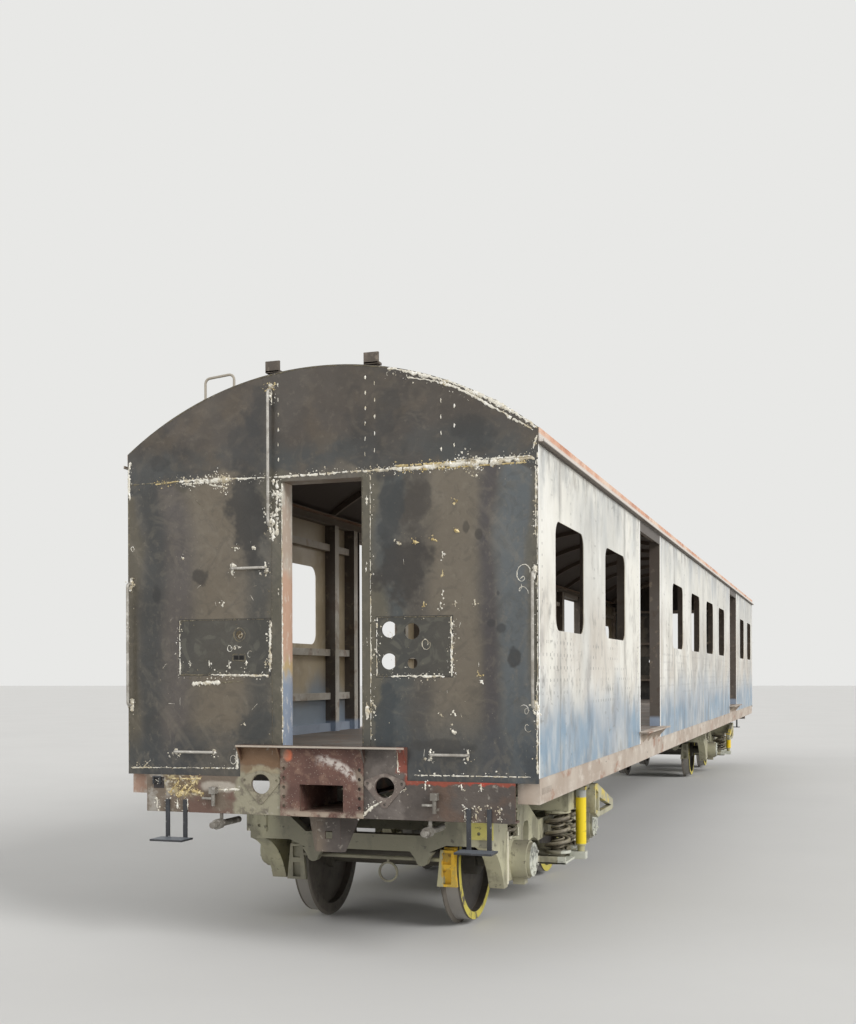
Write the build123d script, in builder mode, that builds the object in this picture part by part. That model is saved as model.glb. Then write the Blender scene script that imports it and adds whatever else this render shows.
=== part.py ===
"""Stripped steel passenger coach on two bogies, drawn in millimetres.

The shell stands bare, as in the middle of a rebuild: empty window and door openings,
open wall framing inside and no drawgear. The origin is below the middle of the coach
at the level of the wheel flanges, +Z is up, and the end that shows its doorway in the
photograph is at -Y. The two ends are the same shape turned half round. All heights
below are above the rail, and the finished pieces are lifted by the depth of a flange.
"""

import os
from math import cos, radians, sqrt

from build123d import *

# Body outline
BODY_LENGTH = 18440
BODY_WIDTH = 2820
SHEET_BOTTOM = 1140
SHEET_TOP = 3150
SHOULDER = 3250
ROOF_TOP = 3734
SIDE_SHEET = 5
END_SHEET = 6
ROOF_SHEET = 5
ROOF_STRIPS = 5
SEAT_GAP = 0.3

# Floor and underframe
FLOOR_TOP = 1250
DECK_PLATE = 10
SOLEBAR_BOTTOM = 980
SOLEBAR_WEB = 12
SOLEBAR_SETBACK = 50
CENTRE_SILL_GAP = 330
CENTRE_SILL_FLANGE = 80
CENTRE_SILL_WEB = 12
BEARER_DEPTH = 220
BEARER_FLANGE = 60
BEARER_WEB = 8
BEARER_END = 700
BEARER_PITCH = 1065
BOLSTER_PLATE = 25
BOLSTER_LENGTH = 460
BOLSTER_WEB = 14

# Windows, side doorways and end doorways, placed from the nearer end of the body
WINDOW_WIDTH = 900
WINDOW_HEIGHT = 700
WINDOW_CORNER = 100
WINDOW_MIDDLE = 2397
WINDOW_PITCH = 1735
FIRST_WINDOW = 920
DOOR_FROM_END = 4565
DOOR_WIDTH = 1270
DOOR_TOP = 3060
THRESHOLD_LENGTH = 1450
THRESHOLD_REACH = 90
THRESHOLD_PLATE = 12
THRESHOLD_RIBS = 4
THRESHOLD_RIB = 10
END_DOOR_WIDTH = 550
END_DOOR_TOP = 3010
STRIP_PLATE = 4

# Framing inside the shell
POST_DEPTH = 100
POST_WIDTH = 90
DOOR_POST_INSET = 52
LINING = 8
POST_SHARE = 0.357
RAIL_DEPTH = 50
RAIL_HEIGHT = 62
FOOT_RAIL_HEIGHT = 75
LOW_RAIL = 1574
SILL_RAIL_DROP = 71
HEAD_RAIL = 2944
CANT_WALL = 8
CANT_COVER = 6
CANT_DEPTH = 70
GUTTER_REACH = 30
GUTTER_LIP = 20
GUTTER_WALL = 6
END_FRAME_DEPTH = 150
END_POST_WIDTH = 50
CORNER_POST_WIDTH = 70
END_RAIL_HEIGHT = 40
END_LOW_RAIL = 1650
SEAM_RAIL = 3050
CARLINE_DEPTH = 50
CARLINE_WIDTH = 40
CARLINE_END = 450
CARLINE_PITCH = 1460

# Headstock
HEADSTOCK_INSET = 144
HEADSTOCK_BOTTOM = 866
HEADSTOCK_TOP = 1110
HEADSTOCK_PLATE = 12
HEADSTOCK_FLANGE = 100
CENTRE_HALF = 575
LEDGE_TOP = 1318
LEDGE_REACH = 70
GUSSET = 10
GUSSET_DROP = 100
COUPLER_WIDTH = 300
COUPLER_HEIGHT = 170
COUPLER_LEVEL = 985
POCKET_WALL = 15
POCKET_LENGTH = 600
PAD_HOLE = 127
PAD_HOLE_X = 427
PAD_HOLE_LEVEL = 1064
PAD_HOLE_EASE = 3
PAD_PLATE = 6
PAD_WALL = 24
PAD_LOBE = 24
PAD_BOLT_HOLE = 18
PAD_BOLTS = [
    # across and up from the middle of the pad hole
    (-114, 24),
    (114, 24),
    (0, -106),
]
DRAW_PLATE = 10
DRAW_PLATE_HALF = 285
DRAW_BOLT_X = 260
DRAW_BOLT_HOLE = 22
DRAW_BOLT_LOW = 930
DRAW_BOLT_PITCH = 60
DRAW_BOLT_ROWS = 5
BRACKET_SETBACK = 120
BRACKET_BOTTOM = 630
BRACKET_PLATE = 12
BRACKET_WIDTH = 165
BRACKET_WING = 140
BRACKET_WING_FOOT = 28
BRACKET_HOLE = 50
BRACKET_HOLE_LEVEL = 740

# Fittings on the ends and the roof
BAR = 20
CORNER_BAR_INSET = 25
CORNER_BAR_LOW = 1570
CORNER_BAR_HIGH = 2380
CORNER_BAR_OFF = 60
HAND_BAR_OFF = 50
RUNG_OFF = 45
LUG_X = 340
LUG_WIDTH = 100
LUG_HEIGHT = 75
LUG_PLATE = 16
LUG_FOOT = 64
ROOF_HANDLE_LOW_X = 840
ROOF_HANDLE_HIGH_X = 630
ROOF_HANDLE_RISE = 90
ROOF_HANDLE_SETBACK = 32
STEP_INSET = 161
STEP_SPACING = 130
STEP_BAR = 28
STEP_BAR_PLATE = 12
STEP_TOP = 950
STEP_LEVEL = 700
STEP_WIDTH = 235
STEP_TREAD = 150
STEP_PLATE = 12
PIPE_X = 720
PIPE_LEVEL = 800
PIPE_RADIUS = 22
PIPE_REACH = 110
PIPE_TAIL = 260
PIPE_STRAP = 20
COCK_RADIUS = 34
COCK_LENGTH = 60
LEVER_X = 760
LEVER_BLOCK = 44
LEVER_TOP = 1040
LEVER_PIN = 13
LEVER_PIN_BOTTOM = 915
LEVER_LENGTH = 80
LEVER_BAR = 14
LEVER_LEVEL = 965

# Wheels
BOGIE_FROM_END = 2500
WHEELBASE = 2286
TREAD_RADIUS = 450
TREAD_TAPER = 6.5
FLANGE_DEPTH = 28
FLANGE_WIDTH = 30
FLANGE_TIP = 12
FLANGE_CHAMFER = 8
BACK_TO_BACK = 987
RIM_WIDTH = 130
RIM_DEPTH = 60
WHEEL_WEB = 34
WHEEL_DISH = 24
HUB_RADIUS = 125
HUB_WIDTH = 170
AXLE_RADIUS = 80
JOURNAL_RADIUS = 65
JOURNAL_END = 945

# Bogie frame
FRAME_INNER_X = 780
FRAME_THICK = 110
FRAME_OVER_AXLE = 880
FRAME_OVER_CENTRE = 640
FRAME_UNDER_CENTRE = 480
FRAME_FOOT = 270
FRAME_SLOPE_START = 365
FRAME_SLOPE_END = 60
FRAME_BEND = 120
FRAME_OPENING_Y = 745
FRAME_OPENING_LEVEL = 590
FRAME_OPENING = 170
FRAME_OPENING_CORNER = 55
LEG_SWELL = 60
HORN_GAP = 270
HORN_TOP = 800
HORN_LEG = 95
LEG_POCKET_WIDTH = 58
LEG_POCKET_DEPTH = 70
LEG_POCKET_LOW = 322
LEG_POCKET_HIGH = 475
LINER_PLATE = 8
LINER_WIDTH = 30
LINER_LOW = 290
LINER_HIGH = 660
TRANSOM_Y = 330
TRANSOM_WIDTH = 90
TRANSOM_DEPTH = 110
END_TRANSOM_Y = 1645
END_TRANSOM_WIDTH = 90
END_TRANSOM_TOP = 770
END_TRANSOM_BOTTOM = 605
END_TRANSOM_DROP_X = 460
END_TRANSOM_RISE_X = 580
END_TRANSOM_DROP_TOP = 668
END_TRANSOM_DROP_BOTTOM = 556
DROP_ARM_X = 405
DROP_ARM_HALF = 85
DROP_ARM_TIP = 42
DROP_ARM_LEVEL = 500
DROP_ARM_THICK = 60
TAIL_PLATE = 10
TAIL_PLATE_X = (760, 915)
TAIL_PLATE_LEVELS = (655, 772)
TAIL_HOLE = 24
TAIL_HOLE_X = 814
TAIL_HOLE_LEVEL = 696

# Axleboxes
BOX_TOP = 600
BOX_BOTTOM = 310
BOX_CLEARANCE = 2
BOX_INNER_X = 760
BOX_OUTER_X = 905
BOX_DRUM_RADIUS = 135
BOX_DRUM_X = 1020
BOX_LUG_WIDTH = 90
BOX_LUG_BOTTOM = 275
BOX_LUG_TOP = 350
BOX_LUG_X = 990
CAP_RADIUS = 120
CAP_PLATE = 28
JOURNAL_CLEARANCE = 0.3
JOURNAL_END_GAP = 5

# Bolster, spring plank, springs and dampers
BOLSTER_SEAT = 925
BOLSTER_UNDER = 700
BOLSTER_HALF = 1105
BOLSTER_END_DEPTH = 180
BOLSTER_HALF_WIDTH = 235
PIVOT_RADIUS = 60
PIVOT_CLEARANCE = 2
PIVOT_DEPTH = 130
BEARING_GAP = 0.5
BEARING_RADIUS = 170
SIDE_BEARER_X = 760
SIDE_BEARER = 180
ARM_X = (1205, 1250)
ARM_RIB = 25
ARM_START = 100
ARM_BEND = 200
ARM_END = 870
ARM_TOP = 885
ARM_END_TOP = 700
ARM_END_BOTTOM = 607
ARM_BOTTOM = 655
ARM_BORDER = 40
ARM_WINDOW_WIDTH = 110
PLANK_TOP = 360
PLANK_DEPTH = 60
PLANK_HALF = 1110
PLANK_HALF_WIDTH = 370
TONGUE_END = 1200
LINK_X = 700
LINK_Y = 345
LINK_WIDTH = 60
LINK_THICK = 30
COIL_X = 1000
COIL_Y = 150
COIL_RADIUS = 86
COIL_WIRE = 34
COIL_TURNS = 3.5
COIL_SEAT_RADIUS = 104
COIL_SEAT = 24
COIL_SINK = 5
BOX_SPRING_RADIUS = 84
BOX_SPRING_SEAT_RADIUS = 90
BOX_SPRING_SEAT = 16
DAMPER_X = 1155
DAMPER_RADIUS = 42
DAMPER_EYE = 30
DAMPER_EYE_HEIGHT = 50
DAMPER_HIGH = 850
DAMPER_BRACKET = 25
DAMPER_BRACKET_HALF = 45

# Brake gear at the outer wheels of a bogie
SHOE_CLEARANCE = 8
SHOE_THICK = 45
SHOE_HALF_HEIGHT = 130
HANGER_Y = 1634
HANGER_THICK = 30
HANGER_LOW = 313
HANGER_HIGH = 565
HANGER_LOW_X = (490, 635)
HANGER_HIGH_X = (515, 610)
HANGER_BAR = 18
BRAKE_BEAM_LEVEL = 495
BRAKE_BEAM_RADIUS = 14
LOOP_X = 130
LOOP_RADIUS = 72
LOOP_BAR = 14
LOOP_LEVEL = 395

# Values worked out from the sizes above
half_length = BODY_LENGTH / 2
half_width = BODY_WIDTH / 2
sheet_face = -half_length
inner_end = half_length - END_SHEET
inner_side = half_width - SIDE_SHEET
plate_back = -inner_end
face = plate_back - HEADSTOCK_PLATE
deck_bottom = FLOOR_TOP - DECK_PLATE
headstock_half = half_width - HEADSTOCK_INSET
sill_inner = CENTRE_SILL_GAP / 2
sill_outer = sill_inner + CENTRE_SILL_FLANGE
bolster_bottom = SOLEBAR_BOTTOM - BOLSTER_PLATE
bogie_centre = half_length - BOGIE_FROM_END
door_centre = half_length - DOOR_FROM_END
door_near = door_centre - DOOR_WIDTH / 2
door_far = door_centre + DOOR_WIDTH / 2
half_door = END_DOOR_WIDTH / 2
half_base = WHEELBASE / 2
wheel_back = BACK_TO_BACK / 2
flange_radius = TREAD_RADIUS + FLANGE_DEPTH
roof_rise = ROOF_TOP - SHOULDER
roof_radius = (half_width**2 + roof_rise**2) / (2 * roof_rise)


def block(x, y, z, mode=Mode.ADD):
    """Add a square-edged block between pairs of limits along X, Y and Z."""
    with Locations(((x[0] + x[1]) / 2, (y[0] + y[1]) / 2, (z[0] + z[1]) / 2)):
        Box(x[1] - x[0], y[1] - y[0], z[1] - z[0], mode=mode)


def panel(x, z, mode=Mode.ADD):
    """Add a rectangle between pairs of limits to a sketch."""
    with Locations(((x[0] + x[1]) / 2, (z[0] + z[1]) / 2)):
        Rectangle(x[1] - x[0], z[1] - z[0], mode=mode)


def outline(*points, mode=Mode.ADD):
    """Add a face with straight edges between points to a sketch."""
    with BuildLine() as edges:
        Polyline(*points, close=True)
    make_face(edges.edges(), mode=mode)


def arch_half(depth, level=SHOULDER):
    """Half width, at a level, of the arch that lies a depth inside the roof."""
    centre = ROOF_TOP - roof_radius
    return sqrt((roof_radius - depth) ** 2 - (level - centre) ** 2)


def arch_level(x, depth=0):
    """Level of the arch that lies a depth inside the roof, at a place across it."""
    return ROOF_TOP - roof_radius + sqrt((roof_radius - depth) ** 2 - x**2)


def arch_band(outer, inner):
    """Add the band between two arches, given as depths inside the roof, to a sketch."""
    with BuildLine() as band:
        wide = arch_half(outer)
        narrow = arch_half(inner)
        ThreePointArc((-wide, SHOULDER), (0, ROOF_TOP - outer), (wide, SHOULDER))
        Line((wide, SHOULDER), (narrow, SHOULDER))
        ThreePointArc((narrow, SHOULDER), (0, ROOF_TOP - inner), (-narrow, SHOULDER))
        Line((-narrow, SHOULDER), (-wide, SHOULDER))
    make_face(band.edges())


def bent_bar(*points, sides=8):
    """Add a bar of even section that runs from point to point."""
    with BuildLine() as route:
        Polyline(*points)
    start = Vector(points[0])
    along = Vector(points[1]) - start
    with BuildSketch(Plane(origin=start, z_dir=along)) as section:
        RegularPolygon(BAR / 2, sides)
    sweep(section.sketch, path=route.wires()[0], transition=Transition.RIGHT)


pieces = {}

# Floor deck
with BuildPart() as floor_deck:
    edge = inner_side - SEAT_GAP
    end = inner_end - SEAT_GAP
    block((-edge, edge), (-end, end), (deck_bottom, FLOOR_TOP))
pieces["floor_deck"] = floor_deck.part

# Solebars: deep channels with their backs outwards, closed by a plate at each end
with BuildPart() as solebars:
    reach = half_length - SOLEBAR_SETBACK
    with BuildSketch(Plane.XZ):
        panel((headstock_half, inner_side), (SOLEBAR_BOTTOM, deck_bottom))
        hollow = (SOLEBAR_BOTTOM + SOLEBAR_WEB, deck_bottom - SOLEBAR_WEB)
        panel((headstock_half, inner_side - SOLEBAR_WEB), hollow, mode=Mode.SUBTRACT)
    extrude(amount=reach, both=True)
    for side in (-1, 1):
        plate = sorted((side * reach, side * (reach - SOLEBAR_WEB)))
        block((headstock_half, inner_side), plate, (SOLEBAR_BOTTOM, deck_bottom))
    mirror(about=Plane.YZ)
pieces["solebars"] = solebars.part

# Centre sills: two channels back to back with the coupler pockets between them
with BuildPart() as centre_sills:
    with BuildSketch(Plane.XZ):
        panel((sill_inner, sill_outer), (SOLEBAR_BOTTOM, deck_bottom))
        hollow = (SOLEBAR_BOTTOM + CENTRE_SILL_WEB, deck_bottom - CENTRE_SILL_WEB)
        panel((sill_inner + CENTRE_SILL_WEB, sill_outer), hollow, mode=Mode.SUBTRACT)
    extrude(amount=inner_end, both=True)
    mirror(about=Plane.YZ)
pieces["centre_sills"] = centre_sills.part

# Crossbearers: pressed channels between the solebars and the centre sills
bearer_reach = half_length - BEARER_END
bearer_gaps = round(2 * bearer_reach / BEARER_PITCH)
bolster_room = BOLSTER_LENGTH / 2 + BEARER_FLANGE
with BuildPart() as crossbearers:
    for i in range(bearer_gaps + 1):
        place = bearer_reach * (2 * i / bearer_gaps - 1)
        if abs(abs(place) - bogie_centre) < bolster_room:
            continue
        for start, finish in ((sill_outer, headstock_half), (-sill_inner, sill_inner)):
            with BuildSketch(Plane.YZ.offset(start)):
                low = deck_bottom - BEARER_DEPTH
                panel((place, place + BEARER_FLANGE), (low, deck_bottom))
                inside = (low + BEARER_WEB, deck_bottom - BEARER_WEB)
                panel((place + BEARER_WEB, place + BEARER_FLANGE), inside, mode=Mode.SUBTRACT)
            extrude(amount=finish - start)
    mirror(about=Plane.YZ)
pieces["crossbearers"] = crossbearers.part

# Body bolsters with the centre pivots and the side bearers
with BuildPart() as body_bolsters:
    for end in (-1, 1):
        middle = end * bogie_centre
        near = middle - BOLSTER_LENGTH / 2
        far = middle + BOLSTER_LENGTH / 2
        block((-headstock_half, headstock_half), (near, far), (bolster_bottom, SOLEBAR_BOTTOM))
        for web in ((near, near + BOLSTER_WEB), (far - BOLSTER_WEB, far)):
            for side in (-1, 1):
                span = sorted((side * sill_outer, side * headstock_half))
                block(span, web, (SOLEBAR_BOTTOM, deck_bottom))
            block((-sill_inner, sill_inner), web, (SOLEBAR_BOTTOM, deck_bottom))
        seat = BOLSTER_SEAT + BEARING_GAP
        with BuildSketch(Plane.XY.offset(seat)):
            with Locations((0, middle)):
                Circle(BEARING_RADIUS)
            with Locations((SIDE_BEARER_X, middle), (-SIDE_BEARER_X, middle)):
                Rectangle(SIDE_BEARER, SIDE_BEARER)
        extrude(amount=bolster_bottom - seat)
        with BuildSketch(Plane.XY.offset(seat)):
            with Locations((0, middle)):
                Circle(PIVOT_RADIUS)
        extrude(amount=-PIVOT_DEPTH)
pieces["body_bolsters"] = body_bolsters.part

# Side sheets, one for each stretch between the corners and the doorways
end_windows = [half_length - FIRST_WINDOW - i * WINDOW_PITCH for i in range(2)]
middle_count = int(2 * door_near // WINDOW_PITCH)
window_rows = {
    "near": [-y for y in end_windows],
    "mid": [(i - (middle_count - 1) / 2) * WINDOW_PITCH for i in range(middle_count)],
    "far": sorted(end_windows),
}
stretches = {
    "near": (-inner_end, -door_far),
    "mid": (-door_near, door_near),
    "far": (door_far, inner_end),
}
for name, (start, finish) in stretches.items():
    with BuildPart() as side_panel:
        with BuildSketch(Plane.YZ.offset(inner_side)):
            panel((start, finish), (SHEET_BOTTOM, SHEET_TOP))
            with Locations(*[(y, WINDOW_MIDDLE) for y in window_rows[name]]):
                RectangleRounded(WINDOW_WIDTH, WINDOW_HEIGHT, WINDOW_CORNER, mode=Mode.SUBTRACT)
        extrude(amount=SIDE_SHEET)
    pieces[f"side_panel_right_{name}"] = side_panel.part
    turned = {"near": "far", "mid": "mid", "far": "near"}[name]
    pieces[f"side_panel_left_{turned}"] = side_panel.part.rotate(Axis.Z, 180)


def post_places(start, finish, windows):
    """Middles of the posts of a stretch: one between windows, and two at each doorway."""
    places = [(a + b) / 2 for a, b in zip(windows, windows[1:])]
    inset = DOOR_POST_INSET + POST_WIDTH / 2
    if abs(start) < inner_end:
        door_post = start + inset
        edge = windows[0] - WINDOW_WIDTH / 2
        places = [door_post, edge - POST_SHARE * (edge - door_post)] + places
    if abs(finish) < inner_end:
        door_post = finish - inset
        edge = windows[-1] + WINDOW_WIDTH / 2
        places = places + [edge + POST_SHARE * (door_post - edge), door_post]
    return places


# Side framing: posts, rails let in between them, and linings beside the doorways
side_rails = [
    # middle level, height
    (FLOOR_TOP + FOOT_RAIL_HEIGHT / 2, FOOT_RAIL_HEIGHT),
    (LOW_RAIL, RAIL_HEIGHT),
    (WINDOW_MIDDLE - WINDOW_HEIGHT / 2 - SILL_RAIL_DROP, RAIL_HEIGHT),
    (HEAD_RAIL, RAIL_HEIGHT),
]
with BuildPart() as side_framing:
    post_x = (inner_side - POST_DEPTH, inner_side)
    for name, (start, finish) in stretches.items():
        posts = [
            (y - POST_WIDTH / 2, y + POST_WIDTH / 2)
            for y in post_places(start, finish, window_rows[name])
        ]
        if abs(start) < inner_end:
            posts.insert(0, (start, start + LINING))
        if abs(finish) < inner_end:
            posts.append((finish - LINING, finish))
        for span in posts:
            block(post_x, span, (FLOOR_TOP, SHEET_TOP))
        frame_end = inner_end - END_FRAME_DEPTH
        bays = [max(start, -frame_end)] + [y for span in posts for y in span]
        bays = bays + [min(finish, frame_end)]
        for low_y, high_y in zip(bays[::2], bays[1::2]):
            if high_y - low_y <= DOOR_POST_INSET:
                continue
            span = (low_y + SEAT_GAP, high_y - SEAT_GAP)
            for level, height in side_rails:
                levels = (level - height / 2, level + height / 2)
                block((inner_side - RAIL_DEPTH, inner_side), span, levels)
pieces["side_framing_right"] = side_framing.part
pieces["side_framing_left"] = side_framing.part.rotate(Axis.Z, 180)

# Cant rails with their gutters and the headers over the side doorways
with BuildPart() as cant_rails:
    cover = half_width + CANT_COVER
    cant_inside = inner_side - CANT_DEPTH
    with BuildSketch(Plane.XZ):
        panel((cant_inside, cover), (SHEET_TOP, SHOULDER))
        hollow = (SHEET_TOP + CANT_WALL, SHOULDER - CANT_WALL)
        panel((cant_inside, cover - CANT_WALL), hollow, mode=Mode.SUBTRACT)
        gutter = SHEET_TOP + CANT_WALL
        panel((cover, cover + GUTTER_REACH), (gutter, gutter + GUTTER_WALL))
        lip = cover + GUTTER_REACH
        panel((lip - GUTTER_WALL, lip), (gutter, gutter + GUTTER_LIP))
    extrude(amount=inner_end, both=True)
    for door in (-door_centre, door_centre):
        span = (door - DOOR_WIDTH / 2, door + DOOR_WIDTH / 2)
        block((inner_side, half_width), span, (DOOR_TOP, SHEET_TOP))
        block((cant_inside, inner_side), span, (SHEET_TOP - RAIL_HEIGHT, SHEET_TOP))
    mirror(about=Plane.YZ)
pieces["cant_rails"] = cant_rails.part

# Roof sheet in strips that run the length of the body, and the carlines under it
with BuildPart() as roof_sheet:
    with BuildSketch(Plane.XZ):
        arch_band(0, ROOF_SHEET)
        strip = BODY_WIDTH / ROOF_STRIPS
        for i in range(1, ROOF_STRIPS):
            seam = -half_width + i * strip
            panel((seam - SEAT_GAP / 2, seam + SEAT_GAP / 2), (SHOULDER, ROOF_TOP), mode=Mode.SUBTRACT)
    extrude(amount=inner_end, both=True)
pieces["roof_sheet"] = roof_sheet.part

carline_top = ROOF_SHEET + SEAT_GAP
carline_reach = half_length - CARLINE_END
carline_gaps = round(2 * carline_reach / CARLINE_PITCH)
with BuildPart() as roof_carlines:
    for i in range(carline_gaps + 1):
        place = carline_reach * (2 * i / carline_gaps - 1)
        with BuildSketch(Plane.XZ.offset(-place)):
            arch_band(carline_top, carline_top + CARLINE_DEPTH)
        extrude(amount=CARLINE_WIDTH / 2, both=True)
pieces["roof_carlines"] = roof_carlines.part

# End sheets, notched over the raised middle of the headstock
PLATES = [
    # low x, high x, low level, high level of the plates let into the end sheet
    (-1020, -360, 1770, 2130),
    (374, 868, 1757, 2126),
]
PLATE_HOLES = [
    # across, level, radius of the round holes in those plates
    (-580, 2030, 28),
    (459, 2050, 50),
    (456, 1851, 50),
    (607, 2037, 50),
    (610, 1839, 33),
]
STRIPS = [
    # low x, high x of the cover strips beside the end doorway
    (-343, -277),
    (284, 331),
]
with BuildPart() as end_sheet:
    with BuildSketch(Plane.XZ.offset(half_length)):
        with BuildLine():
            Line((-half_width, SHOULDER), (-half_width, HEADSTOCK_TOP))
            Line((-half_width, HEADSTOCK_TOP), (half_width, HEADSTOCK_TOP))
            Line((half_width, HEADSTOCK_TOP), (half_width, SHOULDER))
            ThreePointArc((half_width, SHOULDER), (0, ROOF_TOP), (-half_width, SHOULDER))
        make_face()
        panel((-CENTRE_HALF, CENTRE_HALF), (HEADSTOCK_TOP, LEDGE_TOP), mode=Mode.SUBTRACT)
        panel((-half_door, half_door), (LEDGE_TOP, END_DOOR_TOP), mode=Mode.SUBTRACT)
        for low_x, high_x, low, high in PLATES:
            panel((low_x, high_x), (low, high), mode=Mode.SUBTRACT)
    extrude(amount=-END_SHEET)
pieces["end_sheet_near"] = end_sheet.part
pieces["end_sheet_far"] = end_sheet.part.rotate(Axis.Z, 180)

with BuildPart() as end_plates:
    with BuildSketch(Plane.XZ.offset(half_length)):
        for low_x, high_x, low, high in PLATES:
            panel((low_x + SEAT_GAP, high_x - SEAT_GAP), (low + SEAT_GAP, high - SEAT_GAP))
        for x, level, radius in PLATE_HOLES:
            with Locations((x, level)):
                Circle(radius, mode=Mode.SUBTRACT)
    extrude(amount=-END_SHEET)
    with BuildSketch(Plane.XZ.offset(half_length + SEAT_GAP)):
        for low_x, high_x in STRIPS:
            panel((low_x, high_x), (LEDGE_TOP + SEAT_GAP, END_DOOR_TOP))
    extrude(amount=STRIP_PLATE)
    add(end_plates.part.rotate(Axis.Z, 180))
pieces["end_plates"] = end_plates.part

# End framing: corner posts, door posts, rails and an arch under the roof
with BuildPart() as end_framing:
    with BuildSketch(Plane.XZ.offset(inner_end)):
        arch_band(carline_top, carline_top + CARLINE_DEPTH)
        post_edge = half_door + END_POST_WIDTH
        post_top = arch_level(post_edge, carline_top + CARLINE_DEPTH / 2)
        for side in (-1, 1):
            panel(sorted((side * half_door, side * post_edge)), (FLOOR_TOP, post_top))
            corner = (side * (inner_side - CORNER_POST_WIDTH), side * inner_side)
            panel(sorted(corner), (FLOOR_TOP, SHEET_TOP))
            bay = sorted((side * half_door, side * inner_side))
            for level in (END_LOW_RAIL, WINDOW_MIDDLE, SEAM_RAIL):
                panel(bay, (level - END_RAIL_HEIGHT / 2, level + END_RAIL_HEIGHT / 2))
        panel((-half_door, half_door), (END_DOOR_TOP, SEAM_RAIL + END_RAIL_HEIGHT / 2))
    extrude(amount=-END_FRAME_DEPTH)
pieces["end_framing_near"] = end_framing.part
pieces["end_framing_far"] = end_framing.part.rotate(Axis.Z, 180)

# Thresholds that stand out below the side doorways, on ribs
with BuildPart() as door_thresholds:
    for door in (-door_centre, door_centre):
        top = (FLOOR_TOP - THRESHOLD_PLATE, FLOOR_TOP)
        root = half_width + SEAT_GAP
        outer = half_width + THRESHOLD_REACH
        span = (door - THRESHOLD_LENGTH / 2, door + THRESHOLD_LENGTH / 2)
        block((root, outer), span, top)
        inside = (door - DOOR_WIDTH / 2 + SEAT_GAP, door + DOOR_WIDTH / 2 - SEAT_GAP)
        block((inner_side, root), inside, top)
        for i in range(THRESHOLD_RIBS):
            share = (i + 0.5) / THRESHOLD_RIBS - 0.5
            with BuildSketch(Plane.XZ.offset(-(door + share * DOOR_WIDTH))):
                tip = (outer - THRESHOLD_RIB, top[0])
                outline((inner_side, top[0]), tip, (inner_side, SHEET_BOTTOM))
            extrude(amount=THRESHOLD_RIB / 2, both=True)
    mirror(about=Plane.YZ)
pieces["door_thresholds"] = door_thresholds.part

# Headstock with its raised middle, ledge, gussets and the bracket below it
with BuildPart() as headstock:
    with BuildSketch(Plane.XZ.offset(-face)):
        panel((-headstock_half, headstock_half), (HEADSTOCK_BOTTOM, HEADSTOCK_TOP))
        panel((-CENTRE_HALF, CENTRE_HALF), (HEADSTOCK_TOP, LEDGE_TOP))
        with Locations((0, COUPLER_LEVEL)):
            Rectangle(COUPLER_WIDTH, COUPLER_HEIGHT, mode=Mode.SUBTRACT)
        with Locations((-PAD_HOLE_X, PAD_HOLE_LEVEL), (PAD_HOLE_X, PAD_HOLE_LEVEL)):
            Circle(PAD_HOLE / 2, mode=Mode.SUBTRACT)
    extrude(amount=-HEADSTOCK_PLATE)
    flange = (plate_back, face + HEADSTOCK_FLANGE)
    low = (HEADSTOCK_BOTTOM, HEADSTOCK_BOTTOM + HEADSTOCK_PLATE)
    block((-headstock_half, headstock_half), flange, low)
    ledge = (LEDGE_TOP - HEADSTOCK_PLATE, LEDGE_TOP)
    block((-CENTRE_HALF, CENTRE_HALF), (face - LEDGE_REACH, face), ledge)
    for x in (-CENTRE_HALF + GUSSET, -DRAW_PLATE_HALF, DRAW_PLATE_HALF + GUSSET, CENTRE_HALF):
        with BuildSketch(Plane.YZ.offset(x - GUSSET)):
            tip = (face - LEDGE_REACH + GUSSET, ledge[0])
            outline((face, ledge[0]), tip, (face, ledge[0] - GUSSET_DROP))
        extrude(amount=GUSSET)
    back = face + BRACKET_SETBACK
    with BuildSketch(Plane.XZ.offset(-back)):
        panel((-BRACKET_WIDTH / 2, BRACKET_WIDTH / 2), (BRACKET_BOTTOM, HEADSTOCK_BOTTOM))
        with Locations((0, BRACKET_HOLE_LEVEL)):
            Rectangle(BRACKET_HOLE, BRACKET_HOLE, mode=Mode.SUBTRACT)
    extrude(amount=BRACKET_PLATE)
    wing = BRACKET_WING * cos(radians(45))
    for side in (-1, 1):
        root_x = side * BRACKET_WIDTH / 2
        run = Vector(side, 1, 0)
        with BuildSketch(Plane(origin=(root_x, back, 0), x_dir=run, z_dir=(1, -side, 0))):
            outline(
                (-BRACKET_PLATE / 2, low[1]),
                (BRACKET_WING, low[1]),
                (BRACKET_WING, HEADSTOCK_BOTTOM),
                (BRACKET_WING_FOOT, BRACKET_BOTTOM),
                (-BRACKET_PLATE / 2, BRACKET_BOTTOM),
            )
        extrude(amount=BRACKET_PLATE / 2, both=True)
    shelf = (plate_back, back + wing + BRACKET_PLATE)
    shelf_x = BRACKET_WIDTH / 2 + wing + BRACKET_PLATE
    block((-shelf_x, shelf_x), shelf, low)
pieces["headstock_near"] = headstock.part
pieces["headstock_far"] = headstock.part.rotate(Axis.Z, 180)

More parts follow.
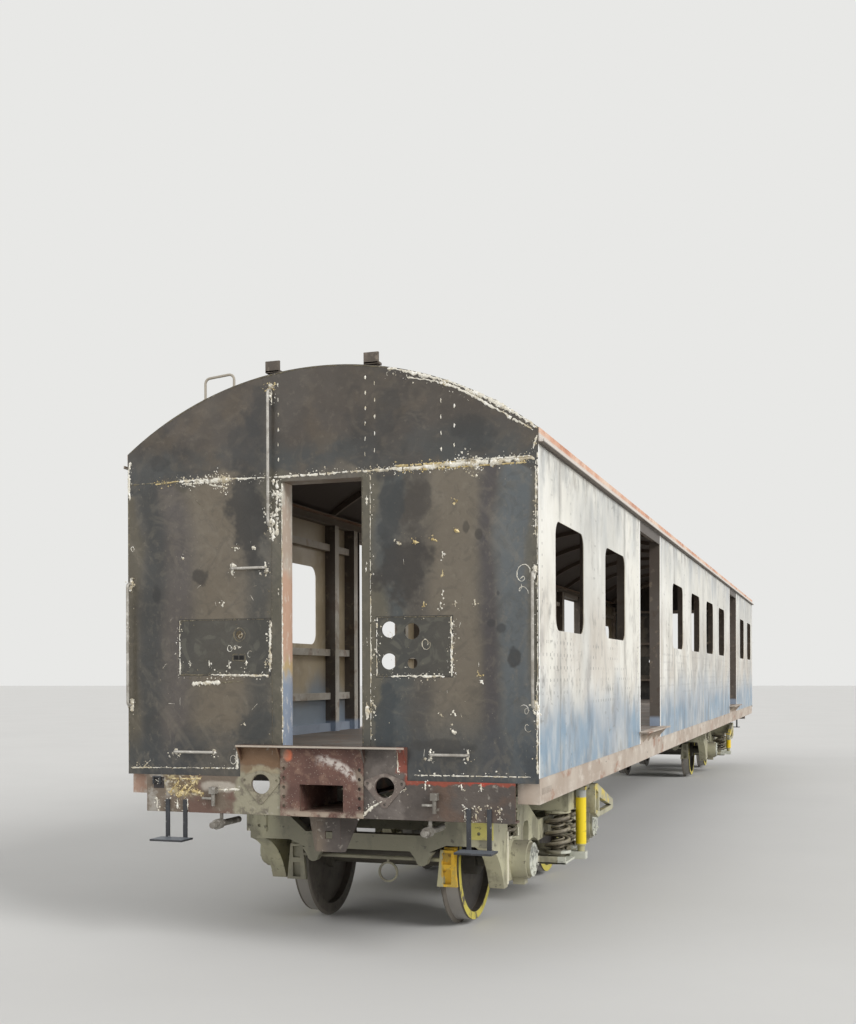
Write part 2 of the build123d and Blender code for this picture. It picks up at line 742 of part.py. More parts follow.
# Draw plates with two columns of bolt holes, and the three-lobed pads beside them
with BuildPart() as draw_plates:
    with BuildSketch(Plane.XZ.offset(-face)):
        panel((-DRAW_PLATE_HALF, DRAW_PLATE_HALF), (HEADSTOCK_BOTTOM, ledge[0] - SEAT_GAP))
        with Locations((0, COUPLER_LEVEL)):
            Rectangle(COUPLER_WIDTH, COUPLER_HEIGHT, mode=Mode.SUBTRACT)
        for x in (-DRAW_BOLT_X, DRAW_BOLT_X):
            for row in range(DRAW_BOLT_ROWS):
                with Locations((x, DRAW_BOLT_LOW + row * DRAW_BOLT_PITCH)):
                    Circle(DRAW_BOLT_HOLE / 2, mode=Mode.SUBTRACT)
    extrude(amount=DRAW_PLATE)
    for side in (-1, 1):
        middle = Vector(side * PAD_HOLE_X, PAD_HOLE_LEVEL)
        with BuildSketch(Plane.XZ.offset(-face)):
            with BuildSketch(mode=Mode.PRIVATE) as lobes:
                with Locations(middle):
                    Circle(PAD_HOLE / 2 + PAD_WALL)
                with Locations(*[middle + Vector(x, z) for x, z in PAD_BOLTS]):
                    Circle(PAD_LOBE)
            make_hull(lobes.edges())
            with Locations(middle):
                Circle(PAD_HOLE / 2 + PAD_HOLE_EASE, mode=Mode.SUBTRACT)
            with Locations(*[middle + Vector(x, z) for x, z in PAD_BOLTS]):
                Circle(PAD_BOLT_HOLE / 2, mode=Mode.SUBTRACT)
        extrude(amount=PAD_PLATE)
    add(draw_plates.part.rotate(Axis.Z, 180))
pieces["draw_plates"] = draw_plates.part

# Coupler pockets between the centre sills
with BuildPart() as coupler_pockets:
    with BuildSketch(Plane.XZ.offset(-plate_back)):
        with Locations((0, COUPLER_LEVEL)):
            Rectangle(CENTRE_SILL_GAP, COUPLER_HEIGHT + 2 * POCKET_WALL)
            Rectangle(COUPLER_WIDTH, COUPLER_HEIGHT, mode=Mode.SUBTRACT)
    extrude(amount=-POCKET_LENGTH)
    add(coupler_pockets.part.rotate(Axis.Z, 180))
pieces["coupler_pockets"] = coupler_pockets.part

# Footsteps below the corners
with BuildPart() as footsteps:
    bar_face = (face - STEP_BAR_PLATE, face)
    outer_bar = headstock_half - STEP_INSET
    for x in (outer_bar - STEP_SPACING, outer_bar):
        block((x - STEP_BAR / 2, x + STEP_BAR / 2), bar_face, (STEP_LEVEL, STEP_TOP))
    middle = outer_bar - STEP_SPACING / 2
    tread_x = (middle - STEP_WIDTH / 2, middle + STEP_WIDTH / 2)
    block(tread_x, (face - STEP_TREAD, face), (STEP_LEVEL - STEP_PLATE, STEP_LEVEL))
    mirror(about=Plane.YZ)
    add(footsteps.part.rotate(Axis.Z, 180))
pieces["footsteps"] = footsteps.part

# Grab irons on the end sheets
corner_bar = half_width - CORNER_BAR_INSET
BARS = [
    # first x, first level, last x, last level, stand-off
    (-corner_bar, CORNER_BAR_LOW, -corner_bar, CORNER_BAR_HIGH, CORNER_BAR_OFF),
    (corner_bar, CORNER_BAR_LOW, corner_bar, CORNER_BAR_HIGH, CORNER_BAR_OFF),
    (-355, 2730, -355, 3600, HAND_BAR_OFF),
    (-630, 2460, -390, 2460, RUNG_OFF),
    (-1050, 1265, -770, 1265, RUNG_OFF),
    (730, 1275, 970, 1275, RUNG_OFF),
]
with BuildPart() as grab_irons:
    for first_x, first, last_x, last, stand_off in BARS:
        out = sheet_face - stand_off
        bent_bar(
            (first_x, sheet_face, first),
            (first_x, out, first),
            (last_x, out, last),
            (last_x, sheet_face, last),
        )
    add(grab_irons.part.rotate(Axis.Z, 180))
pieces["grab_irons"] = grab_irons.part

# Lugs and handles at the ends of the roof
with BuildPart() as roof_fittings:
    for side in (-1, 1):
        x = (side * LUG_X - LUG_WIDTH / 2, side * LUG_X + LUG_WIDTH / 2)
        foot = arch_level(LUG_X - LUG_WIDTH / 2) + SEAT_GAP
        block(x, (sheet_face, sheet_face + LUG_FOOT), (foot, foot + LUG_PLATE))
        block(x, (sheet_face, sheet_face + LUG_PLATE), (foot, foot + LUG_HEIGHT))
    handle_y = sheet_face + ROOF_HANDLE_SETBACK
    low = arch_level(ROOF_HANDLE_LOW_X - BAR / 2) + SEAT_GAP
    high = arch_level(ROOF_HANDLE_HIGH_X - BAR / 2) + SEAT_GAP
    top = high + ROOF_HANDLE_RISE
    bent_bar(
        (-ROOF_HANDLE_LOW_X, handle_y, low),
        (-ROOF_HANDLE_LOW_X, handle_y, top - BAR),
        (-ROOF_HANDLE_HIGH_X, handle_y, top),
        (-ROOF_HANDLE_HIGH_X, handle_y, high),
    )
    add(roof_fittings.part.rotate(Axis.Z, 180))
pieces["roof_fittings"] = roof_fittings.part

# Air pipes with their cocks, hung below the headstocks, and the lever catches above them
with BuildPart() as air_pipes:
    for side in (-1, 1):
        x = side * PIPE_X
        with BuildSketch(Plane.XZ.offset(-(face + PIPE_TAIL))):
            with Locations((x, PIPE_LEVEL)):
                RegularPolygon(PIPE_RADIUS, 12)
        extrude(amount=PIPE_TAIL + PIPE_REACH)
        with BuildSketch(Plane.XZ.offset(-face)):
            with Locations((x, PIPE_LEVEL)):
                RegularPolygon(COCK_RADIUS, 8)
        extrude(amount=COCK_LENGTH)
        strap = (plate_back, plate_back + HEADSTOCK_PLATE)
        block((x - PIPE_STRAP / 2, x + PIPE_STRAP / 2), strap, (PIPE_LEVEL, HEADSTOCK_BOTTOM))
        x = side * LEVER_X
        catch = (face - LEVER_BLOCK, face)
        half = LEVER_BLOCK / 2
        block((x - half, x + half), catch, (LEVER_TOP - LEVER_BLOCK, LEVER_TOP))
        with BuildSketch(Plane.XY.offset(LEVER_PIN_BOTTOM)):
            with Locations((x, face - half)):
                RegularPolygon(LEVER_PIN, 8)
        extrude(amount=LEVER_TOP - LEVER_BLOCK - LEVER_PIN_BOTTOM)
        bar = (face - half - LEVER_BAR / 2, face - half + LEVER_BAR / 2)
        levels = (LEVER_LEVEL - LEVER_BAR / 2, LEVER_LEVEL + LEVER_BAR / 2)
        block((x - LEVER_LENGTH, x), bar, levels)
    add(air_pipes.part.rotate(Axis.Z, 180))
pieces["air_pipes"] = air_pipes.part

# Wheelset: two flanged wheels with dished webs, pressed on one axle and turned about X
hub_back = wheel_back + (RIM_WIDTH - HUB_WIDTH) / 2
web_back = wheel_back + (RIM_WIDTH - WHEEL_WEB) / 2
rim_inside = TREAD_RADIUS - RIM_DEPTH
wheel_front = wheel_back + RIM_WIDTH
with BuildPart() as wheelset:
    with BuildSketch(Plane.XY):
        outline(
            (0, 0),
            (0, AXLE_RADIUS),
            (hub_back, AXLE_RADIUS),
            (hub_back, HUB_RADIUS),
            (web_back - WHEEL_DISH, HUB_RADIUS),
            (web_back, rim_inside),
            (wheel_back, rim_inside),
            (wheel_back, flange_radius - FLANGE_CHAMFER),
            (wheel_back + FLANGE_TIP, flange_radius),
            (wheel_back + FLANGE_WIDTH, TREAD_RADIUS),
            (wheel_front, TREAD_RADIUS - TREAD_TAPER),
            (wheel_front, rim_inside),
            (web_back + WHEEL_WEB, rim_inside),
            (web_back + WHEEL_WEB - WHEEL_DISH, HUB_RADIUS),
            (hub_back + HUB_WIDTH, HUB_RADIUS),
            (hub_back + HUB_WIDTH, JOURNAL_RADIUS),
            (JOURNAL_END, JOURNAL_RADIUS),
            (JOURNAL_END, 0),
        )
    revolve(axis=Axis.X)
    mirror(about=Plane.YZ)

# Bogie frame: two cast side frames joined by transoms
leg = HORN_GAP / 2 + HORN_LEG
frame_outer_x = FRAME_INNER_X + FRAME_THICK
tail = END_TRANSOM_Y + END_TRANSOM_WIDTH
slope_end = half_base - leg - FRAME_SLOPE_END
with BuildPart() as bogie_frame:
    with BuildSketch(Plane.YZ.offset(FRAME_INNER_X)) as side_frame:
        with BuildLine():
            Polyline(
                (0, FRAME_UNDER_CENTRE),
                (0, FRAME_OVER_CENTRE),
                (FRAME_SLOPE_START, FRAME_OVER_CENTRE),
                (slope_end, FRAME_OVER_AXLE),
                (half_base + leg, FRAME_OVER_AXLE),
                (tail, END_TRANSOM_TOP),
                (tail, END_TRANSOM_BOTTOM),
            )
            low_middle = (END_TRANSOM_BOTTOM + FRAME_FOOT) / 2
            ThreePointArc(
                (tail, END_TRANSOM_BOTTOM),
                ((tail + half_base + leg) / 2 - LEG_SWELL / 2, low_middle + LEG_SWELL),
                (half_base + leg, FRAME_FOOT),
            )
            Line((half_base + leg, FRAME_FOOT), (half_base - leg, FRAME_FOOT))
            low_middle = (FRAME_UNDER_CENTRE + FRAME_FOOT) / 2
            ThreePointArc(
                (half_base - leg, FRAME_FOOT),
                (half_base - leg - LEG_SWELL * 2, low_middle + LEG_SWELL),
                (FRAME_SLOPE_START, FRAME_UNDER_CENTRE),
            )
            Line((FRAME_SLOPE_START, FRAME_UNDER_CENTRE), (0, FRAME_UNDER_CENTRE))
        make_face()
        bends = side_frame.vertices().filter_by_position(Axis.X, FRAME_SLOPE_START, slope_end)
        fillet(bends.filter_by_position(Axis.Y, FRAME_OVER_CENTRE, FRAME_OVER_AXLE), FRAME_BEND)
        with Locations((FRAME_OPENING_Y, FRAME_OPENING_LEVEL)):
            RectangleRounded(FRAME_OPENING, FRAME_OPENING, FRAME_OPENING_CORNER, mode=Mode.SUBTRACT)
        mirror(about=Plane.YZ)
        for end in (-1, 1):
            horn = (end * half_base - HORN_GAP / 2, end * half_base + HORN_GAP / 2)
            panel(horn, (FRAME_FOOT, HORN_TOP), mode=Mode.SUBTRACT)
    extrude(amount=FRAME_THICK)
    for end in (-1, 1):
        leg_end = end * (half_base + leg)
        pocket_y = sorted((leg_end, leg_end - end * LEG_POCKET_DEPTH))
        middle = FRAME_INNER_X + FRAME_THICK / 2
        pocket_x = (middle - LEG_POCKET_WIDTH / 2, middle + LEG_POCKET_WIDTH / 2)
        block(pocket_x, pocket_y, (LEG_POCKET_LOW, LEG_POCKET_HIGH), mode=Mode.SUBTRACT)
        for side in (-1, 1):
            edge = end * half_base + side * HORN_GAP / 2
            liner = sorted((edge, edge + side * LINER_WIDTH))
            block((frame_outer_x, frame_outer_x + LINER_PLATE), liner, (LINER_LOW, LINER_HIGH))
        with BuildSketch(Plane.XZ.offset(-end * (tail + TAIL_PLATE))):
            panel(TAIL_PLATE_X, TAIL_PLATE_LEVELS)
            with Locations((TAIL_HOLE_X, TAIL_HOLE_LEVEL)):
                Circle(TAIL_HOLE / 2, mode=Mode.SUBTRACT)
        extrude(amount=end * TAIL_PLATE)
        y = sorted((end * TRANSOM_Y, end * (TRANSOM_Y + TRANSOM_WIDTH)))
        block((0, FRAME_INNER_X), y, (FRAME_OVER_CENTRE - TRANSOM_DEPTH, FRAME_OVER_CENTRE))
        with BuildSketch(Plane.XZ.offset(-end * tail)):
            outline(
                (0, END_TRANSOM_DROP_BOTTOM),
                (END_TRANSOM_DROP_X, END_TRANSOM_DROP_BOTTOM),
                (END_TRANSOM_RISE_X, END_TRANSOM_BOTTOM),
                (FRAME_INNER_X, END_TRANSOM_BOTTOM),
                (FRAME_INNER_X, END_TRANSOM_TOP),
                (END_TRANSOM_RISE_X, END_TRANSOM_TOP),
                (END_TRANSOM_DROP_X, END_TRANSOM_DROP_TOP),
                (0, END_TRANSOM_DROP_TOP),
            )
        extrude(amount=end * END_TRANSOM_WIDTH)
        with BuildSketch(Plane.XZ.offset(-end * tail)):
            outline(
                (DROP_ARM_X - DROP_ARM_HALF, END_TRANSOM_DROP_BOTTOM),
                (DROP_ARM_X + DROP_ARM_HALF, END_TRANSOM_DROP_BOTTOM),
                (DROP_ARM_X + DROP_ARM_TIP, DROP_ARM_LEVEL),
                (DROP_ARM_X - DROP_ARM_TIP, DROP_ARM_LEVEL),
            )
            with Locations((DROP_ARM_X, DROP_ARM_LEVEL)):
                Circle(DROP_ARM_TIP)
        extrude(amount=end * DROP_ARM_THICK)
    mirror(about=Plane.YZ)

# Bogie bolster: a deep beam across the frame with the pivot bore, and an arm at each end
with BuildPart() as bogie_bolster:
    with BuildSketch(Plane.XZ):
        outline(
            (0, BOLSTER_UNDER),
            (BOLSTER_HALF, BOLSTER_UNDER),
            (BOLSTER_HALF, BOLSTER_UNDER + BOLSTER_END_DEPTH),
            (SIDE_BEARER_X + SIDE_BEARER / 2, BOLSTER_SEAT),
            (0, BOLSTER_SEAT),
        )
    extrude(amount=BOLSTER_HALF_WIDTH, both=True)
    with BuildSketch(Plane.YZ.offset(ARM_X[0])):
        with BuildLine():
            Polyline(
                (ARM_END, ARM_END_TOP),
                (ARM_BEND, ARM_TOP),
                (ARM_START, ARM_TOP),
                (ARM_START, ARM_BOTTOM),
                (BOLSTER_HALF_WIDTH, ARM_END_BOTTOM),
                (ARM_END, ARM_END_BOTTOM),
            )
            swell = (ARM_END_TOP - ARM_END_BOTTOM) / 2
            tip = (ARM_END + swell, (ARM_END_TOP + ARM_END_BOTTOM) / 2)
            ThreePointArc((ARM_END, ARM_END_BOTTOM), tip, (ARM_END, ARM_END_TOP))
        make_face()
        window_start = ARM_START + ARM_BORDER
        window_end = window_start + ARM_WINDOW_WIDTH
        window_low = ARM_BOTTOM + ARM_BORDER / 2
        outline(
            (window_start, window_low),
            (window_end, window_low - ARM_BORDER / 2),
            (window_end, ARM_TOP - 2 * ARM_BORDER),
            (window_start, ARM_TOP - ARM_BORDER),
            mode=Mode.SUBTRACT,
        )
        outline(
            (window_end + ARM_BORDER, ARM_END_BOTTOM + ARM_BORDER),
            (ARM_END - ARM_BORDER, ARM_END_BOTTOM + ARM_BORDER),
            (window_end + ARM_BORDER, ARM_TOP - 3 * ARM_BORDER),
            mode=Mode.SUBTRACT,
        )
    extrude(amount=ARM_X[1] - ARM_X[0])
    for y in (ARM_START, BOLSTER_HALF_WIDTH - ARM_RIB):
        block((BOLSTER_HALF, ARM_X[0]), (y, y + ARM_RIB), (BOLSTER_UNDER, ARM_TOP - ARM_BORDER))
    bracket_x = (BOLSTER_HALF, DAMPER_X + DAMPER_BRACKET_HALF)
    bracket_z = (DAMPER_HIGH, DAMPER_HIGH + DAMPER_BRACKET)
    block(bracket_x, (-DAMPER_BRACKET_HALF, DAMPER_BRACKET_HALF), bracket_z)
    mirror(about=Plane.YZ)
    with Locations((0, 0, BOLSTER_SEAT)):
        Hole(PIVOT_RADIUS + PIVOT_CLEARANCE)

# Bolster spring: one helical coil whose ends are let into a flat seat above and below
coil_low = PLANK_TOP + SEAT_GAP
coil_high = BOLSTER_UNDER - SEAT_GAP
coil_rise = coil_high - coil_low - 2 * (COIL_SEAT - COIL_SINK)
with BuildPart() as bolster_coil:
    with BuildLine() as helix:
        start = (0, 0, coil_low + COIL_SEAT - COIL_SINK)
        Helix(coil_rise / COIL_TURNS, coil_rise, COIL_RADIUS, center=start)
    with BuildSketch(Plane(helix.line @ 0, x_dir=(1, 0, 0), z_dir=helix.line % 0)):
        Rectangle(COIL_WIRE, COIL_WIRE)
    sweep(path=helix.wires()[0], is_frenet=True)
    with BuildSketch(Plane.XY.offset(coil_low), Plane.XY.offset(coil_high - COIL_SEAT)):
        Circle(COIL_SEAT_RADIUS)
    extrude(amount=COIL_SEAT)

# Axlebox spring: a closed cover with a wider seat at each end
box_low = BOX_TOP + SEAT_GAP
box_high = HORN_TOP - SEAT_GAP
with BuildPart() as box_spring:
    with BuildSketch(Plane.XY.offset(box_low)):
        Circle(BOX_SPRING_RADIUS)
    extrude(amount=box_high - box_low)
    with BuildSketch(Plane.XY.offset(box_low), Plane.XY.offset(box_high - BOX_SPRING_SEAT)):
        Circle(BOX_SPRING_SEAT_RADIUS)
    extrude(amount=BOX_SPRING_SEAT)

# Spring plank with its damper feet, hung from the transoms by links, and all the coils
with BuildPart() as bogie_springs:
    plank = (PLANK_TOP - PLANK_DEPTH, PLANK_TOP)
    block((-PLANK_HALF, PLANK_HALF), (-PLANK_HALF_WIDTH, PLANK_HALF_WIDTH), plank)
    tongue_y = (-DAMPER_BRACKET_HALF, DAMPER_BRACKET_HALF)
    link_z = (PLANK_TOP + SEAT_GAP, FRAME_OVER_CENTRE - TRANSOM_DEPTH - SEAT_GAP)
    for side in (-1, 1):
        block(sorted((side * (PLANK_HALF + SEAT_GAP), side * TONGUE_END)), tongue_y, plank)
        x = side * LINK_X
        for y in (-LINK_Y, LINK_Y):
            link_x = (x - LINK_WIDTH / 2, x + LINK_WIDTH / 2)
            block(link_x, (y - LINK_THICK / 2, y + LINK_THICK / 2), link_z)
        for y in (-COIL_Y, COIL_Y):
            add(bolster_coil.part.moved(Pos(side * COIL_X, y, 0)))
        for y in (-half_base, half_base):
            add(box_spring.part.moved(Pos(side * (FRAME_INNER_X + FRAME_THICK / 2), y, 0)))

# Axleboxes with their drums, caps and lugs
with BuildPart() as axleboxes:
    for y in (-half_base, half_base):
        half_box = HORN_GAP / 2 - BOX_CLEARANCE
        block((BOX_INNER_X, BOX_OUTER_X), (y - half_box, y + half_box), (BOX_BOTTOM, BOX_TOP))
        with BuildSketch(Plane.YZ.offset(BOX_OUTER_X)):
            with Locations((y, TREAD_RADIUS)):
                Circle(BOX_DRUM_RADIUS)
        extrude(amount=BOX_DRUM_X - BOX_OUTER_X)
        with BuildSketch(Plane.YZ.offset(BOX_DRUM_X)):
            with Locations((y, TREAD_RADIUS)):
                Circle(CAP_RADIUS)
        extrude(amount=CAP_PLATE)
        lug_y = (y - BOX_LUG_WIDTH / 2, y + BOX_LUG_WIDTH / 2)
        block((BOX_OUTER_X, BOX_LUG_X), lug_y, (BOX_LUG_BOTTOM, BOX_LUG_TOP))
        with BuildSketch(Plane.YZ.offset(BOX_INNER_X)):
            with Locations((y, TREAD_RADIUS)):
                Circle(JOURNAL_RADIUS + JOURNAL_CLEARANCE)
        extrude(amount=JOURNAL_END + JOURNAL_END_GAP - BOX_INNER_X, mode=Mode.SUBTRACT)
    mirror(about=Plane.YZ)

# Dampers beside the bolster coils, each with an eye at its foot
with BuildPart() as dampers:
    for x in (-DAMPER_X, DAMPER_X):
        foot = PLANK_TOP + SEAT_GAP
        with BuildSketch(Plane.XY.offset(foot)):
            with Locations((x, 0)):
                Circle(DAMPER_EYE)
        extrude(amount=DAMPER_EYE_HEIGHT)
        with BuildSketch(Plane.XY.offset(foot + DAMPER_EYE_HEIGHT)):
            with Locations((x, 0)):
                Circle(DAMPER_RADIUS)
        extrude(amount=DAMPER_HIGH - SEAT_GAP - foot - DAMPER_EYE_HEIGHT)

# Brake gear: curved shoes in hangers before the outer treads, with a beam and a loop
with BuildPart() as brake_gear:
    shoe_back = wheel_back + FLANGE_WIDTH + SHOE_CLEARANCE
    shoe_radius = TREAD_RADIUS + SHOE_CLEARANCE
    beam_y = HANGER_Y + HANGER_THICK / 2
    for end in (-1, 1):
        with BuildSketch(Plane.YZ.offset(shoe_back)):
            with Locations((end * half_base, TREAD_RADIUS)):
                Circle(shoe_radius + SHOE_THICK)
                Circle(shoe_radius, mode=Mode.SUBTRACT)
            kept = sorted((end * half_base, end * (half_base + shoe_radius + SHOE_THICK)))
            levels = (TREAD_RADIUS - SHOE_HALF_HEIGHT, TREAD_RADIUS + SHOE_HALF_HEIGHT)
            panel(kept, levels, mode=Mode.INTERSECT)
        extrude(amount=wheel_front - SHOE_CLEARANCE - shoe_back)
        hanger_face = end * (HANGER_Y + HANGER_THICK)
        with BuildSketch(Plane.XZ.offset(-hanger_face)):
            outline(
                (HANGER_LOW_X[0], HANGER_LOW),
                (HANGER_LOW_X[1], HANGER_LOW),
                (HANGER_HIGH_X[1], HANGER_HIGH),
                (HANGER_HIGH_X[0], HANGER_HIGH),
            )
            inner = HANGER_HIGH_X[0] + HANGER_BAR
            outer = HANGER_HIGH_X[1] - HANGER_BAR
            middle = TREAD_RADIUS
            panel((inner, outer), (HANGER_LOW + HANGER_BAR, middle - HANGER_BAR), mode=Mode.SUBTRACT)
            panel((inner, outer), (middle + HANGER_BAR, HANGER_HIGH - HANGER_BAR), mode=Mode.SUBTRACT)
        extrude(amount=end * HANGER_THICK)
        with BuildSketch(Plane.YZ):
            with Locations((end * beam_y, BRAKE_BEAM_LEVEL)):
                RegularPolygon(BRAKE_BEAM_RADIUS, 12)
        extrude(amount=HANGER_HIGH_X[0] + HANGER_BAR)
        pin = END_TRANSOM_Y + END_TRANSOM_WIDTH - DROP_ARM_THICK - SEAT_GAP
        with BuildSketch(Plane.XZ.offset(-end * beam_y)):
            with Locations((DROP_ARM_X, BRAKE_BEAM_LEVEL)):
                RegularPolygon(BRAKE_BEAM_RADIUS, 8)
        extrude(amount=-end * (pin - beam_y))
    mirror(about=Plane.YZ)
    with BuildSketch(Plane.XZ.offset(beam_y + LOOP_BAR / 2)):
        with Locations((LOOP_X, LOOP_LEVEL)):
            Circle(LOOP_RADIUS)
            Circle(LOOP_RADIUS - LOOP_BAR, mode=Mode.SUBTRACT)
        strap = (LOOP_X - LOOP_BAR / 2, LOOP_X + LOOP_BAR / 2)
        panel(strap, (LOOP_LEVEL + LOOP_RADIUS - LOOP_BAR / 2, BRAKE_BEAM_LEVEL))
    extrude(amount=-LOOP_BAR)

# Two bogies, the far one turned half round, with four wheelsets in all
bogie_pieces = {
    "bogie_frame": bogie_frame.part,
    "bogie_bolster": bogie_bolster.part,
    "bogie_springs": bogie_springs.part,
    "axleboxes": axleboxes.part,
    "dampers": dampers.part,
    "brake_gear": brake_gear.part,
}
for name, shape in bogie_pieces.items():
    near = shape.moved(Pos(0, -bogie_centre, 0))
    pieces[f"{name}_near"] = near
    pieces[f"{name}_far"] = near.rotate(Axis.Z, 180)
axle_places = [
    -bogie_centre - half_base,
    -bogie_centre + half_base,
    bogie_centre - half_base,
    bogie_centre + half_base,
]
for number, place in enumerate(axle_places, start=1):
    pieces[f"wheelset_{number}"] = wheelset.part.moved(Pos(0, place, TREAD_RADIUS))

os.makedirs("parts", exist_ok=True)
for label, shape in pieces.items():
    lifted = shape.moved(Pos(0, 0, FLANGE_DEPTH))
    lifted.label = label
    export_step(lifted, f"parts/{label}.step")
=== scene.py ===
"""Looks of the stripped steel coach: finishes, welds, springs, brake gear and fittings."""

import math
import random

import bmesh
import bpy
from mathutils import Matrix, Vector


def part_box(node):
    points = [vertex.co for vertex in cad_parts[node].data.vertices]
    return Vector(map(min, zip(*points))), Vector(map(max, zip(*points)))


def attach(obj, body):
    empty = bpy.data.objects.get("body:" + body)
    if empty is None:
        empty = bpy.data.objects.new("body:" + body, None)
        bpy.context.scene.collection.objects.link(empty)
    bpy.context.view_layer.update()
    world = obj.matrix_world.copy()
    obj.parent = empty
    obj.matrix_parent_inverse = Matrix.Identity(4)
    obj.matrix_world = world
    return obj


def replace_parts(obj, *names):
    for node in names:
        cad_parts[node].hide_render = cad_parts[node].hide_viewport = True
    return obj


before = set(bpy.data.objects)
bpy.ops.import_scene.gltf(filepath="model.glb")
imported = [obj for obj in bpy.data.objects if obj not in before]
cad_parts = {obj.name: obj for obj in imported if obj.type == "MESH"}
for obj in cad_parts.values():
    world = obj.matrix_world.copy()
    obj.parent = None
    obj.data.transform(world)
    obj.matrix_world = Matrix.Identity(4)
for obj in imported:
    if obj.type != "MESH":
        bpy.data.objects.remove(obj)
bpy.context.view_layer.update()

# Sizes of the coach in metres, read from the frame where it has them
RAIL = 0.028
HALF_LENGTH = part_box("end_sheet_far")[1].y
HALF_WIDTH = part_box("end_sheet_far")[1].x
END_FACE = -HALF_LENGTH
ROOF_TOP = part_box("roof_sheet")[1].z
ROOF_RISE = ROOF_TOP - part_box("roof_sheet")[0].z
ROOF_RADIUS = (HALF_WIDTH**2 + ROOF_RISE**2) / (2 * ROOF_RISE)
HEADSTOCK_FACE = -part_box("centre_sills")[1].y - 0.012
DOOR_HALF = 0.275
SHEET_BOTTOM = RAIL + 1.14
BOGIE_CENTRE = 6.72
HALF_BASE = 1.143
AXLE_LEVEL = RAIL + 0.45
OUT = Vector((0, -1, 0))


def linear(colour):
    """Linear colour of an sRGB colour that is written as 0xRRGGBB."""
    parts = [(colour >> shift & 255) / 255 for shift in (16, 8, 0)]
    return (*[p / 12.92 if p <= 0.04045 else ((p + 0.055) / 1.055) ** 2.4 for p in parts], 1.0)


class Nodes:
    """A node tree that grows node by node."""

    def __init__(self, tree):
        self.nodes = tree.nodes
        self.links = tree.links

    def feed(self, node, inputs):
        """Set inputs of a node to constants or link them to sockets."""
        for name, value in inputs.items():
            if isinstance(value, (int, float, tuple)):
                node.inputs[name].default_value = value
            else:
                self.links.new(value, node.inputs[name])

    def node(self, kind, inputs, **settings):
        """The outputs of a new node with settings and inputs."""
        made = self.nodes.new("ShaderNode" + kind)
        for name, value in settings.items():
            setattr(made, name, value)
        self.feed(made, inputs)
        return made.outputs

    def math(self, operation, *values):
        """A math node on constants or sockets."""
        return self.node("Math", dict(enumerate(values)), operation=operation)[0]


